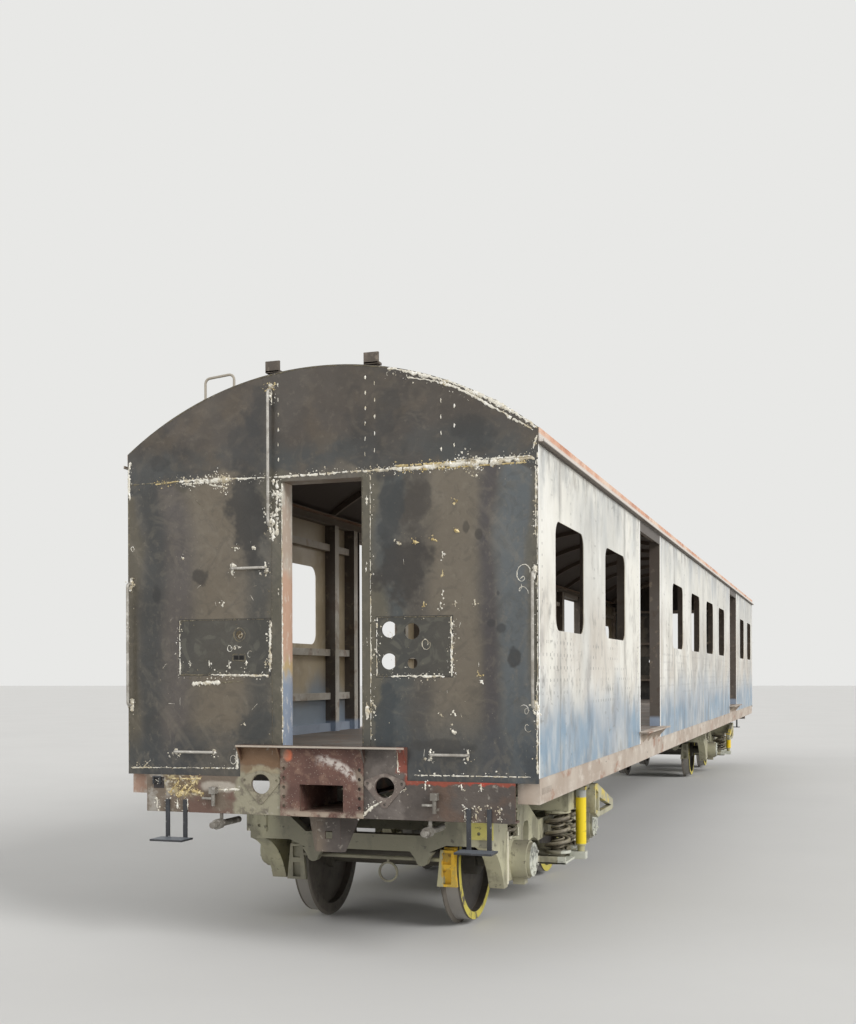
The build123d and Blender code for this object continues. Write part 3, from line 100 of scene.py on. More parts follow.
class Finish(Nodes):
    """A node material that is built up in layers of colour, roughness and height."""

    def __init__(self, name, colour, roughness=0.6, metallic=0.0, edge=0.0):
        self.material = bpy.data.materials.new(name)
        self.material.use_nodes = True
        super().__init__(self.material.node_tree)
        self.colour = linear(colour)
        self.roughness = roughness
        self.metallic = metallic
        self.height = None
        self.edge = edge
        place = self.nodes.new("ShaderNodeTexCoord").outputs
        self.place = place["Object"]
        self.x, self.y, self.z = self.node("SeparateXYZ", {0: self.place})
        self.face_x, self.face_y, self.face_z = self.node("SeparateXYZ", {0: place["Normal"]})

    def size(self, value):
        """A value without its sign."""
        return self.math("ABSOLUTE", value)

    def distance(self, u, v):
        """How far a point is from the middle, by its two coordinates."""
        squares = [self.math("POWER", self.size(part), 2) for part in (u, v)]
        return self.math("SQRT", self.math("ADD", *squares))

    def across_end(self):
        """The place across an end, from its left to its right seen from outside."""
        outward = self.math("SIGN", self.math("MULTIPLY", self.y, -1))
        return self.math("MULTIPLY", self.x, outward)

    def inward(self):
        """Where the face looks at the inside of the coach."""
        return self.step(self.math("MULTIPLY", self.face_x, self.math("SIGN", self.x)), 0.2, -0.2)

    def step(self, value, low, high):
        """0 at low, 1 at high and smooth between, and low may be the larger."""
        limits = {"Value": value, "From Min": min(low, high), "From Max": max(low, high)}
        rising = self.node("MapRange", limits, interpolation_type="SMOOTHSTEP")[0]
        return self.unless(rising) if low > high else rising

    def between(self, value, low, high, soft=0.02):
        """1 between two limits, with soft edges."""
        return self.both(self.step(value, low - soft / 2, low + soft / 2),
                         self.step(value, high + soft / 2, high - soft / 2))

    def beside(self, value, place, reach, soft):
        """1 within a reach of a place, with soft edges."""
        return self.between(value, place - reach, place + reach, soft)

    def rise(self, level, low, high):
        """The same as step, with limits as heights over the rail."""
        return self.step(level, RAIL + low, RAIL + high)

    def belt(self, level, low, high, soft=0.02):
        """The same as between, with limits as heights over the rail."""
        return self.between(level, RAIL + low, RAIL + high, soft)

    def both(self, *masks):
        """Where all the masks are 1."""
        result = masks[0]
        for mask in masks[1:]:
            result = self.math("MULTIPLY", result, mask)
        return result

    def unless(self, mask):
        """Where the mask is 0."""
        return self.math("SUBTRACT", 1, mask)

    def texture(self, kind, place, inputs, **settings):
        """A texture at the coach's own place, moved, turned or stretched first."""
        moved = self.node("Mapping", {"Vector": self.place, **place}, **settings)[0]
        return self.node("Tex" + kind, {"Vector": moved, **inputs})

    def noise(self, scale, low=0.4, high=0.6, shift=0, stretch=1, detail=5):
        """Clouds with a number of features to the metre, scaled upright or in all three ways."""
        place = {"Location": (shift, shift * 0.7, shift * 1.3),
                 "Scale": stretch if isinstance(stretch, tuple) else (1, 1, stretch)}
        cloud = self.texture("Noise", place, {"Scale": scale, "Detail": detail, "Roughness": 0.6})
        return self.step(cloud[0], low, high)

    def strokes(self, scale, low, high, turn, shift):
        """Long slanting brush marks across the X and Z directions."""
        place = {"Location": (shift, shift, 0), "Rotation": (0, turn, 0), "Scale": (4, 1, 0.5)}
        cloud = self.texture("Noise", place, {"Scale": scale, "Detail": 6}, vector_type="TEXTURE")
        return self.step(cloud[0], low, high)

    def swirls(self, scale, low, high, shift):
        """Curling wipe marks."""
        cloud = self.texture("Noise", {"Location": (shift, shift, shift)},
                             {"Scale": scale, "Detail": 4, "Distortion": 3})
        return self.step(cloud[0], low, high)

    def specks(self, scale, size, stretch=(1, 1, 1)):
        """Scattered dots of a size, given as a share of their spacing."""
        dots = self.texture("Voronoi", {"Scale": stretch}, {"Scale": scale})
        return self.step(dots["Distance"], size, size * 0.5)

    def wobble(self, value, amount, scale=2.5, shift=0, stretch=1):
        """A coordinate that wanders by an amount either way."""
        cloud = self.noise(scale, 0.25, 0.75, shift, stretch, 3)
        return self.math("MULTIPLY_ADD", cloud, 2 * amount, self.math("SUBTRACT", value, amount))

    def spot(self, across, centre, radii, soft=0.3, ragged=0.35):
        """A patch with a ragged edge, its centre given across and over the rail."""
        u = self.math("DIVIDE", self.math("SUBTRACT", across, centre[0]), radii[0])
        v = self.math("DIVIDE", self.math("SUBTRACT", self.z, RAIL + centre[1]), radii[1])
        reach = self.wobble(self.distance(u, v), ragged, 6.5, centre[0])
        return self.step(reach, 1 + soft, 1 - soft)

    def paint(self, *layers):
        """Lay colours over what is there. A layer is a colour, its amount and the masks that all
        have to be 1, and a tuple among the masks stands for noise."""
        for colour, amount, *masks in layers:
            mask = self.both(*[self.noise(*m) if isinstance(m, tuple) else m for m in masks])
            if amount != 1:
                mask = self.math("MULTIPLY", mask, amount)
            mix = {0: mask, 6: self.colour, 7: linear(colour)}
            self.colour = self.node("Mix", mix, data_type="RGBA")[2]
        return self

    def gloss(self, mask, roughness):
        """Change the roughness where the mask is 1."""
        mix = {0: mask, 2: self.roughness, 3: roughness}
        self.roughness = self.node("Mix", mix, data_type="FLOAT")[0]

    def lift(self, mask, height):
        """Raise the surface by a height in metres where the mask is 1."""
        raised = self.math("MULTIPLY", mask, height)
        self.height = raised if self.height is None else self.math("ADD", self.height, raised)

    def grain(self, scale, height, shift=0, detail=5):
        """Raise the surface in soft clouds."""
        self.lift(self.noise(scale, 0.3, 0.7, shift, 1, detail), height)

    def done(self, *grains):
        """Add grain, join the layers to the shader and return the material."""
        for grain in grains:
            self.grain(*grain)
        normal = {}
        if self.edge:
            normal["Normal"] = self.node("Bevel", {"Radius": self.edge}, samples=4)[0]
        if self.height is not None:
            bump = {"Distance": 1, "Strength": 1, "Height": self.height, **normal}
            normal["Normal"] = self.node("Bump", bump)[0]
        self.feed(self.nodes["Principled BSDF"], {
            "Base Color": self.colour, "Roughness": self.roughness, "Metallic": self.metallic,
            **normal})
        return self.material


def end_steel():
    """Hot rolled sheet with blue scale, brown heat marks and hand streaks, kept dark overall in part as
    painted shade for an end out of the light.
    """
    f = Finish("end_steel", 0x5a544a, 0.5, 0.15)
    across = f.across_end()
    wander = f.wobble(across, 0.09, 1.1, 2, 0.5)
    level = f.wobble(f.z, 0.1, 1.6, 5)
    f.paint((0x4c4740, 0.7, (1.2, 0.38, 0.64, 3, 1, 7)), (0x665e52, 0.5, (3.6, 0.45, 0.68, 9, 0.3, 7)))
    # Upright bands of blue scale and brown heat
    BANDS = [
        # from and to across the end, softness, colour, amount
        (-1.5, -1.36, 0.04, 0x4e483a, 0.7), (-1.35, -1.19, 0.1, 0x2e3030, 0.85),
        (-1.2, -1, 0.16, 0x4c4644, 0.7), (-0.98, -0.62, 0.22, 0x685e4f, 0.75),
        (-0.58, -0.42, 0.14, 0x383937, 0.7), (-0.42, -0.28, 0.06, 0x504d40, 0.7),
        (0.28, 0.42, 0.05, 0x565244, 0.75), (0.42, 0.56, 0.1, 0x3e4445, 0.8),
        (0.56, 0.7, 0.12, 0x3e3a36, 0.5), (0.72, 1.02, 0.18, 0x6c6355, 0.75),
        (1.04, 1.16, 0.1, 0x403c3e, 0.8), (1.17, 1.37, 0.1, 0x565d61, 0.8),
        (1.36, 1.45, 0.04, 0x56544a, 0.6),
    ]
    for low, high, soft, colour, amount in BANDS:
        f.paint((colour, amount, f.between(wander, low, high, soft)))
    # Bluer and darker low down, then the marks of wiping
    f.paint((0x3e4448, 0.6, f.rise(level, 1.75, 1.25), f.step(across, 0.1, 0.5)),
            (0x383b3c, 0.6, f.rise(level, 1.42, 1.2), f.step(across, 0.1, -0.5)),
            (0x2c3034, 0.6, f.rise(level, 1.55, 1.2), (2.4, 0.45, 0.6, 27)),
            (0x787061, 0.2, f.swirls(5, 0.5, 0.68, 3)), (0x363430, 0.22, f.swirls(6.5, 0.5, 0.68, 11)),
            (0x7e7668, 0.2, f.strokes(7, 0.56, 0.74, 0.9, 3)),
            (0x3a3733, 0.28, f.strokes(9, 0.56, 0.72, -0.7, 8)),
            (0x7a7264, 0.32, (30, 0.55, 0.75, 31, 0.6, 8)),
            (0x968f80, 0.4, f.specks(30, 0.1, (1, 0.2, 0.7)), (1.5, 0.5, 0.6, 70)))
    # Dark heat marks
    PATCHES = [
        # x, height, half width, half height, colour, amount
        (0.545, 2.45, 0.165, 0.21, 0x2e2a26, 0.82), (0.63, 2.83, 0.1, 0.15, 0x38332d, 0.75),
        (0.46, 2.8, 0.085, 0.24, 0x2f3131, 0.8), (-0.52, 2.8, 0.13, 0.26, 0x2c2a27, 0.85),
        (-0.5, 1.42, 0.14, 0.12, 0x323433, 0.7), (0.43, 1.5, 0.07, 0.22, 0x2e3437, 0.75),
        (0.82, 1.33, 0.16, 0.05, 0x34322f, 0.6), (0.02, 3.34, 0.3, 0.16, 0x34302b, 0.6),
        (0.98, 3.3, 0.2, 0.14, 0x302d2a, 0.6), (-1.1, 3.26, 0.16, 0.12, 0x2a2a29, 0.6),
        (-0.45, 3.3, 0.13, 0.22, 0x282a2b, 0.7), (-0.864, 2.406, 0.075, 0.05, 0x2a2621, 0.75),
        (-1.193, 2.326, 0.03, 0.06, 0x262524, 0.7), (1.258, 1.876, 0.035, 0.055, 0x262524, 0.7),
        (1.183, 2.045, 0.03, 0.03, 0x2a2a2b, 0.6), (1.115, 2.08, 0.025, 0.02, 0x2c2c2c, 0.6),
        (1.16, 2.26, 0.018, 0.022, 0x2a2a2c, 0.6), (0.96, 2.66, 0.022, 0.045, 0x302c26, 0.6),
        (1.04, 2.62, 0.02, 0.03, 0x302c26, 0.6), (-0.99, 3.02, 0.09, 0.05, 0x403c2e, 0.5),
    ]
    for x, z, wide, high, colour, amount in PATCHES:
        f.paint((colour, amount, f.spot(across, (x, z), (wide, high), 0.24, 0.45)))
    # The two plates let into the sheet, with dark rims
    for low_x, high_x, low_z, high_z in ((-1.015, -0.365, 1.775, 2.125), (0.379, 0.863, 1.762, 2.121)):
        plate = f.both(f.between(across, low_x, high_x, 0.004), f.belt(f.z, low_z, high_z, 0.004))
        f.paint((0x383732, 0.8, plate), (0x58564c, 0.6, plate, f.swirls(5, 0.5, 0.64, low_x)))
        rim = f.both(f.between(across, low_x - 0.012, high_x + 0.012, 0.006),
                     f.belt(f.z, low_z - 0.012, high_z + 0.012, 0.006))
        f.paint((0x24221f, 0.8, rim, f.unless(plate)))
    # The upper sheet, over the seam
    top = f.rise(level, 3.03, 3.07)
    f.paint((0x3e3832, 0.85, top), (0x4c443c, 0.6, top, (1.6, 0.42, 0.64, 14)),
            (0x3c4040, 0.75, top, f.rise(level, 3.34, 3.14), (1.3, 0.3, 0.55, 4)),
            (0x2c2b29, 0.65, top, (2.6, 0.52, 0.66, 21, 1, 7)),
            (0x584d3f, 0.5, top, (4.2, 0.5, 0.68, 77, 1, 7)),
            (0x60584c, 0.25, top, f.swirls(4, 0.52, 0.68, 13)),
            (0x70675a, 0.28, top, (24, 0.54, 0.74, 35, 1, 8)))
    for x, z, wide, high in ((-1.14, 3.17, 0.07, 0.06), (-0.55, 3.26, 0.1, 0.16), (-0.42, 3.5, 0.08, 0.14),
                             (1.02, 3.24, 0.1, 0.09), (0.46, 3.42, 0.07, 0.12)):
        f.paint((0x282827, 0.5, top, f.spot(across, (x, z), (wide, high), 0.3, 0.7)))
    # Smooth and rough places
    f.gloss(f.noise(3, 0.4, 0.6, 40), 0.36)
    return f.done((1.1, 0.005, 50), (60, 0.00025))


def side_steel():
    """Pale blasted sheet, made paler in part as painted light for a sunlit side, blue low down, blotched
    and stitched, beige inside.
    """
    f = Finish("side_steel", 0xeae7dc, 0.42, 0.1)
    f.paint((0xc8c7c0, 0.75, (0.6, 0.42, 0.62, 7, 1, 6)), (0xf8f6ee, 0.6, (2.4, 0.48, 0.66, 21, 0.5, 7)),
            (0xb0ada4, 0.55, (3.6, 0.54, 0.7, 26, 0.5, 8)),
            (0xaaa8a2, 0.55, f.step(f.y, -5.5, 6), (0.9, 0.3, 0.55, 61)))
    level = f.wobble(f.z, 0.16, 1.1, 12, 0.6)
    low = f.wobble(f.z, 0.1, 3, 15, 0.4)
    # Beige in the middle, blue-grey at the foot, grey blotches at the top
    f.paint((0xbeb4a6, 0.75, f.belt(level, 1.7, 2.35, 0.45), (1.5, 0.38, 0.6, 5, 0.6, 7)),
            (0x928d88, 0.6, f.belt(level, 1.55, 2, 0.25), (3.2, 0.48, 0.64, 9, 0.5, 7)),
            (0x9ca5ae, 0.85, f.rise(level, 1.84, 1.44)),
            (0x7091aa, 0.8, f.rise(low, 1.58, 1.36), (0.8, 0.3, 0.55, 18)),
            (0xc4c8c8, 0.65, f.rise(level, 1.85, 1.35), (4.2, 0.5, 0.66, 17, 0.5, 7)),
            (0xb2b4b0, 0.6, f.rise(low, 1.32, 1.18), (5, 0.46, 0.6, 71, 0.7, 8)),
            (0x5e6876, 0.6, f.rise(low, 1.75, 1.35), (3, 0.48, 0.64, 27, 0.45, 8)),
            (0xb0b4b6, 0.7, f.rise(level, 2.65, 3.1), (2, 0.42, 0.62, 33, 0.5, 8)),
            (0x7a7671, 0.5, f.belt(level, 1.5, 2.3, 0.3), (6, 0.55, 0.66, 91, 0.7, 8)),
            (0x969896, 0.6, f.rise(level, 2.75, 3.05), (3.2, 0.48, 0.62, 95, 0.7, 8)),
            (0x7a746c, 0.55, f.rise(f.z, 2.95, 3.14), (9, 0.5, 0.62, 35, 0.4, 7)),
            (0x8a8276, 0.5, (7, 0.56, 0.68, 5, 0.6, 9), (0.8, 0.4, 0.6, 8)),
            (0x68625a, 0.55, (16, 0.58, 0.7, 51, (0.4, 0.4, 1.4), 6), (1.1, 0.45, 0.6, 13)))
    reach = f.size(f.y)
    # Upright sheet seams
    for seam in (8.62, 6.13, 2.9, 0):
        near = f.wobble(reach, 0.008, 6, seam)
        f.paint((0xa6a29a, 0.6, f.beside(near, seam, 0.05, 0.08), (2, 0.35, 0.6, seam)),
                (0x54504c, 0.8, f.beside(near, seam, 0.005, 0.006), (3, 0.3, 0.5, seam + 2)))
    # Pale strips beside the doorways, and a painted highlight along the corners
    for edge in (4, 5.31):
        f.paint((0xf8f6f0, 0.9, f.beside(f.wobble(reach, 0.006, 5, edge), edge, 0.028, 0.012)))
    f.paint((0xfaf8f2, 0.95, f.step(reach, HALF_LENGTH - 0.045, HALF_LENGTH - 0.02)))
    # Rows and columns of old fixing marks
    stitch = f.math("PINGPONG", f.y, 0.05)
    for row in (1.56, 1.64, 1.72, 1.8, 1.88, 1.96):
        f.paint((0x5c5854, 0.7, f.step(stitch, 0.012, 0.006), (1.6, 0.44, 0.56, row),
                 f.belt(f.z, row, row + 0.02, 0.008)))
    for edge in (HALF_LENGTH - 0.1, 8.45, 8.28, 3.86, 5.45):
        f.paint((0x5c5854, 0.7, f.step(f.math("PINGPONG", f.z, 0.035), 0.01, 0.005),
                 f.beside(reach, edge, 0.007, 0.005), (1.2, 0.42, 0.55, edge)))
    # The inside of the sheet
    inside = f.inward()
    f.paint((0xcebfa2, 1, inside), (0xb09f81, 0.7, inside, (2, 0.4, 0.6, 60)),
            (0xd8ceba, 0.6, inside, (7, 0.54, 0.68, 66, 1, 7)),
            (0x746450, 0.65, inside, f.rise(level, 2.4, 2.85)),
            (0x94a8bc, 0.8, inside, f.rise(level, 1.8, 1.45)))
    f.gloss(f.noise(2.5, 0.4, 0.6, 44), 0.34)
    return f.done((0.9, 0.006, 52), (70, 0.0002))


def roof_steel():
    """Weathered roof sheet, pinkish with primer at the eaves, welded along its strips."""
    f = Finish("roof_steel", 0x847d74, 0.6, 0.15)
    f.paint((0x68615b, 0.8, (0.8, 0.4, 0.6, 2)), (0x96745e, 0.6, (3, 0.5, 0.66, 6, (0.4, 1.4, 1), 6)),
            (0xaca296, 0.5, (9, 0.56, 0.7, 9, (0.3, 1, 1), 7)))
    across = f.size(f.x)
    # Welded strips along the roof, and its cross joints
    for seam in (HALF_WIDTH * 0.2, HALF_WIDTH * 0.6):
        near = f.wobble(across, 0.004, 8, seam)
        f.paint((0x5c544c, 0.6, f.beside(near, seam, 0.05, 0.06)))
        line = f.beside(near, seam, 0.009, 0.006)
        f.paint((0xbab2a4, 0.8, line))
        f.lift(line, 0.003)
    joint = f.math("PINGPONG", f.y, 1.22)
    f.paint((0x605850, 0.6, f.step(joint, 0.02, 0.006)))
    # Primer at the eaves, and painted shade on the underside
    eaves = f.wobble(across, 0.04, 2, 4)
    f.paint((0xce987c, 0.9, f.step(eaves, 1.16, 1.3)),
            (0xe2ccb8, 0.75, f.step(eaves, 1.2, 1.3), (2.2, 0.42, 0.6, 31)),
            (0x4a423c, 1, f.step(f.face_z, 0.1, -0.3)))
    return f.done((0.8, 0.006, 8), (60, 0.0003))


def old_frame():
    """Old wall framing: pale worn fronts, dark brown painted shade on the sides, and blue-grey at the
    floor.
    """
    f = Finish("old_frame", 0xcec9be, 0.6)
    f.paint((0xb0a898, 0.7, (2.2, 0.42, 0.6, 1)), (0x8c705a, 0.6, (6, 0.52, 0.64, 4)),
            (0xe4ded2, 0.5, (18, 0.55, 0.68, 7, 1, 8)), (0x7e705e, 0.7, f.rise(f.z, 2.4, 2.75)))
    # Painted shade in dark brown on the sides of posts
    sides = f.step(f.size(f.face_y), 0.4, 0.8)
    f.paint((0x423730, 0.9, sides), (0x8c7e6c, 0.4, sides, (14, 0.56, 0.66, 12, 1, 7)),
            (0x5c5046, 0.8, f.rise(f.z, 3.16, 3.24)), (0x9cacc2, 0.8, f.rise(f.z, 1.36, 1.32)))
    return f.done((50, 0.0004))


def jamb_frame():
    """End framing whose doorway faces are primed pink in the middle."""
    f = Finish("jamb_frame", 0x8c8072, 0.5, 0.2)
    f.paint((0x6c5e52, 0.8, (2.5, 0.42, 0.6, 3)), (0xa8a094, 0.6, (7, 0.52, 0.64, 9)))
    # The faces of the doorway
    reveal = f.both(f.step(f.size(f.x), DOOR_HALF + 0.004, DOOR_HALF + 0.001),
                    f.step(f.size(f.face_x), 0.5, 0.9))
    level = f.wobble(f.z, 0.14, 3, 6)
    f.paint((0xd4ccbe, 1, reveal), (0xd6aa8e, 0.85, reveal, f.belt(level, 1.8, 2.42, 0.3)),
            (0xb6967e, 0.55, reveal, (5, 0.5, 0.62, 8, 0.4, 7)),
            (0xceb47e, 0.8, reveal, f.belt(level, 1.7, 1.86, 0.08)),
            (0x94a4ba, 0.9, reveal, f.rise(level, 1.78, 1.6)),
            (0xf0ece2, 0.6, reveal, (30, 0.56, 0.66, 3, 0.4, 6)))
    return f.done((45, 0.0004))


def floor_steel():
    """Floor deck: dusty brown plate above, painted shade below."""
    f = Finish("floor_steel", 0x867f77, 0.7)
    f.paint((0x70675f, 0.8, (1.5, 0.4, 0.6, 5)), (0x886852, 0.6, (6, 0.5, 0.66, 8)),
            # Painted shade on the faces that look down
            (0x3e3a36, 1, f.step(f.face_z, 0, -0.5)))
    return f.done((30, 0.0005))


def cant_primer():
    """Cant rail and gutter: pink primer worn to beige, with a painted shadow under the lip."""
    f = Finish("cant_primer", 0xd49e80, 0.6, edge=0.004)
    f.paint((0xe8d4c0, 0.75, (1.2, 0.4, 0.6, 2)), (0xba7a5c, 0.7, (6, 0.52, 0.64, 5, (1, 0.5, 1), 6)),
            (0x786458, 0.5, (24, 0.58, 0.7, 9)), (0xd8d4cc, 0.85, f.rise(f.z, 3.222, 3.208)),
            # The dark strip low down is a painted shadow under the lip
            (0x3a322d, 0.9, f.rise(f.z, 3.172, 3.16)), (0x786c5e, 1, f.inward()))
    return f.done((50, 0.0004))


def headstock_paint():
    """Headstock: torn old paint and rust, golden cuts at its left, red along its right top."""
    f = Finish("headstock_paint", 0x58504a, 0.62, 0.1, 0.003)
    across = f.across_end()
    wander = f.wobble(across, 0.04, 5, 3)
    level = f.wobble(f.z, 0.018, 8, 5)
    f.paint((0x4a433f, 0.8, (5, 0.42, 0.6, 1)),
            (0x6c5240, 0.7, f.step(wander, 0.6, 0.95), (3, 0.42, 0.6, 19)),
            (0x7a6c5c, 0.7, f.step(wander, 0, -0.1)),
            (0x684c42, 0.8, f.between(wander, -0.98, -0.6, 0.12), (4, 0.42, 0.6, 11)),
            (0xb2aa9e, 0.8, f.spot(across, (-0.72, 1.045), (0.13, 0.035))),
            (0x96917c, 0.9, f.between(wander, -0.62, -0.28, 0.05), f.rise(level, 1.15, 1.12)),
            (0x785c42, 0.9, f.between(wander, -0.6, -0.28, 0.04), f.rise(level, 1.165, 1.185)),
            (0xa89e82, 0.7, f.between(wander, -0.6, -0.28, 0.04), f.belt(level, 1.135, 1.17, 0.02)),
            (0x70563e, 0.7, f.between(wander, -0.6, -0.28, 0.04), f.rise(level, 1.12, 1.15),
             (10, 0.46, 0.6, 62)),
            (0x60584e, 0.7, f.between(wander, -0.58, -0.28, 0.05), (14, 0.5, 0.62, 40, 1, 8),
             f.rise(level, 1.15, 1.12)))
    # Golden torch cuts at the left
    cuts = f.both(f.between(wander, -1.12, -0.86, 0.05), f.rise(level, 0.96, 1))
    f.paint((0x6c5c44, 0.8, cuts), (0xbcac82, 0.65, cuts, f.swirls(7, 0.5, 0.62, 4)),
            (0xded8c6, 0.6, cuts, (22, 0.52, 0.62, 14, 1, 7)),
            (0xa8a49c, 0.7, f.step(wander, -1.08, -1.14), (9, 0.45, 0.6, 51)),
            (0x262224, 0.95, f.between(across, -1.215, -1.135, 0.004), f.belt(f.z, 1.02, 1.095, 0.004)),
            (0x706862, 0.8, f.between(wander, 0.29, 0.56, 0.03), (6, 0.35, 0.6, 6)),
            (0x8a4230, 0.8, f.between(wander, 0.5, 0.58, 0.02), f.rise(level, 1.13, 1.16)))
    # The red line along the top at the right
    line = f.both(f.step(wander, 0.56, 0.6), f.rise(level, 1.084, 1.096))
    f.paint((0x944430, 0.8, line), (0xac402e, 0.85, line, f.between(wander, 0.96, 1.14, 0.05)),
            (0xb0aa9e, 0.5, (24, 0.6, 0.7, 9, 1, 8)), (0x5a4238, 0.7, f.step(f.size(f.face_y), 0.5, 0.2)))
    # The pale ledge over the headstock
    ledge = f.both(f.rise(f.z, 1.3, 1.308), f.step(f.size(f.y), 9.28, 9.29))
    f.paint((0xc4baac, 0.7, ledge))
    f.lift(f.noise(22, 0.35, 0.65, 2), 0.0015)
    return f.done((80, 0.0005))


def rust_plate():
    """Rusted draw plate with a pale scuffed arc above the coupler opening, and the pads."""
    f = Finish("rust_plate", 0x6a4c42, 0.68, 0.1, 0.003)
    across = f.across_end()
    f.paint((0x563c35, 0.8, (7, 0.4, 0.62, 2)), (0x886c5c, 0.7, (16, 0.52, 0.66, 5, 1, 8)))
    # The scuffed arc
    from_arc = f.distance(f.math("SUBTRACT", across, 0.02), f.math("SUBTRACT", f.z, RAIL + 1))
    arc = f.both(f.between(f.wobble(from_arc, 0.012, 9, 3), 0.2, 0.25, 0.03), f.step(across, -0.06, 0.02),
                 f.rise(f.z, 1.08, 1.13))
    f.paint((0xd0c8c0, 0.85, arc, (40, 0.35, 0.6, 3, 1, 6)),
            (0xd47652, 0.85, f.spot(across, (-0.235, 1.255), (0.03, 0.035))),
            (0x8e8474, 0.7, f.step(f.size(across), 0.2, 0.27), (9, 0.45)),
            (0xb0a492, 0.7, f.rise(f.z, 0.93, 0.88), (12, 0.4, 0.6, 8)))
    # The pads beside the plate
    left_pad = f.step(across, -0.287, -0.292)
    right_pad = f.step(across, 0.287, 0.292)
    f.paint((0x948e7a, 0.92, left_pad), (0x686054, 0.75, left_pad, (14, 0.46, 0.62, 21, 1, 8)),
            (0x6e645d, 0.92, right_pad), (0x9e948a, 0.7, right_pad, (14, 0.5, 0.64, 25, 1, 8)),
            (0xbab0a0, 0.5, f.specks(60, 0.2)))
    f.lift(f.noise(30, 0.35, 0.65, 2), 0.0012)
    return f.done()


def sill_paint():
    """Faded beige paint on the sole bars, rubbed and run with rust, with painted shade on the faces that
    look down.
    """
    f = Finish("sill_paint", 0xbcb0a2, 0.6, edge=0.004)
    f.paint((0xa08e7e, 0.7, (1.5, 0.4, 0.6, 2)), (0xd4ccc0, 0.6, (8, 0.5, 0.66, 4, (1, 0.5, 1), 7)),
            (0x96664c, 0.65, (5, 0.56, 0.66, 8, (1, 0.6, 1), 6)),
            (0x2c2622, 0.85, f.specks(9, 0.09, (1, 0.4, 1.5))))
    reach = f.size(f.y)
    # A row of ticks near the corners
    ticks = f.step(f.math("PINGPONG", f.y, 0.0165), 0.006, 0.003)
    f.paint((0x342c26, 0.85, ticks, f.between(reach, 8.86, 9.13, 0.01), f.belt(f.z, 1.035, 1.075, 0.006)),
            # Painted shade on the faces that look down
            (0x544c44, 0.9, f.step(f.face_z, 0, -0.5)))
    return f.done((40, 0.0005))


def under_steel():
    """Underframe members: dark paint under brake dust."""
    f = Finish("under_steel", 0x4a443e, 0.75)
    f.paint((0x383431, 0.8, (2, 0.4, 0.6, 2)), (0x705440, 0.6, (7, 0.52, 0.66, 6)),
            (0x68625a, 0.6, f.step(f.face_z, 0.3, 0.8)))
    return f.done((40, 0.0005))


def bogie_paint():
    """Cream bogie paint under grease and grey dust, pale on the pedestal liners."""
    f = Finish("bogie_paint", 0xb8b498, 0.6, edge=0.004)
    f.paint((0x9e9a84, 0.75, (2.2, 0.4, 0.62, 2)), (0x787464, 0.7, (5, 0.5, 0.62, 5, 0.5, 6)))
    inner = f.size(f.x)
    f.paint((0x747162, 0.75, f.step(inner, 0.78, 0.6)), (0x847e6c, 0.5, f.rise(f.z, 0.42, 0.28)),
            (0x8c8676, 0.6, f.step(f.face_z, 0.3, 0.8)))
    # Pale liners in the jaws
    liner = f.both(f.between(inner, 0.892, 0.902, 0.003), f.belt(f.z, 0.28, 0.67, 0.01))
    f.paint((0xe2ddc8, 0.9, liner))
    # The yellowish plate at the bogie's end
    tail = f.size(f.math("SUBTRACT", f.size(f.y), BOGIE_CENTRE))
    plate = f.both(f.step(tail, 1.736, 1.738), f.between(f.across_end(), 0.755, 0.92, 0.01))
    f.paint((0xd8ce70, 0.9, plate), (0xa8a070, 0.7, plate, (16, 0.5, 0.64, 41, 1, 7)))
    # Yellow ends of the arms
    arm = f.both(f.step(inner, 1.19, 1.2), f.rise(f.z, 0.62, 0.7))
    f.paint((0xdec43c, 0.8, arm, (5, 0.5, 0.6, 16)))
    # Axlebox covers
    cap = f.step(inner, 1.044, 1.047)
    f.paint((0xced0c4, 0.8, cap, f.rise(f.z, 0.6, 0.56)),
            (0x565654, 0.75, cap, (8, 0.5, 0.62, 44), f.rise(f.z, 0.6, 0.56)),
            (0x3e3a34, 0.65, (20, 0.6, 0.68, 8, 1, 8)))
    return f.done((30, 0.0008))


def wheel_steel(place):
    """Wheelset at a place along the coach: bright tread, yellow rim edge, dark plate."""
    f = Finish(f"wheel_steel_{place:.0f}".replace("-", "m"), 0x625c53, 0.62, 0.2)
    dy = f.math("SUBTRACT", f.y, place)
    dz = f.math("SUBTRACT", f.z, AXLE_LEVEL)
    radius = f.math("SQRT", f.math("ADD", f.math("MULTIPLY", dy, dy), f.math("MULTIPLY", dz, dz)))
    across = f.size(f.x)
    f.paint((0x504941, 0.7, (6, 0.4, 0.6, 2)), (0x3c3834, 0.6, (16, 0.52, 0.66, 5)),
            (0x3e3c3c, 0.6, f.step(across, 0.555, 0.57), f.step(radius, 0.39, 0.37)),
            (0x5c584e, 0.7, f.step(radius, 0.16, 0.12)))
    # Yellow rim and bright tread
    rim = f.both(f.step(radius, 0.386, 0.394), f.step(across, 0.6, 0.615),
                 f.step(f.size(f.face_x), 0.85, 0.95))
    f.paint((0xd4c658, 0.9, rim, (9, 0.32, 0.46, 8)))
    tread = f.both(f.step(radius, 0.438, 0.442), f.step(across, 0.52, 0.525), f.step(across, 0.612, 0.605))
    f.paint((0x96928c, 0.85, tread))
    f.gloss(tread, 0.3)
    f.paint((0x706a62, 0.7, f.step(radius, 0.452, 0.458)))
    return f.done((30, 0.0005))


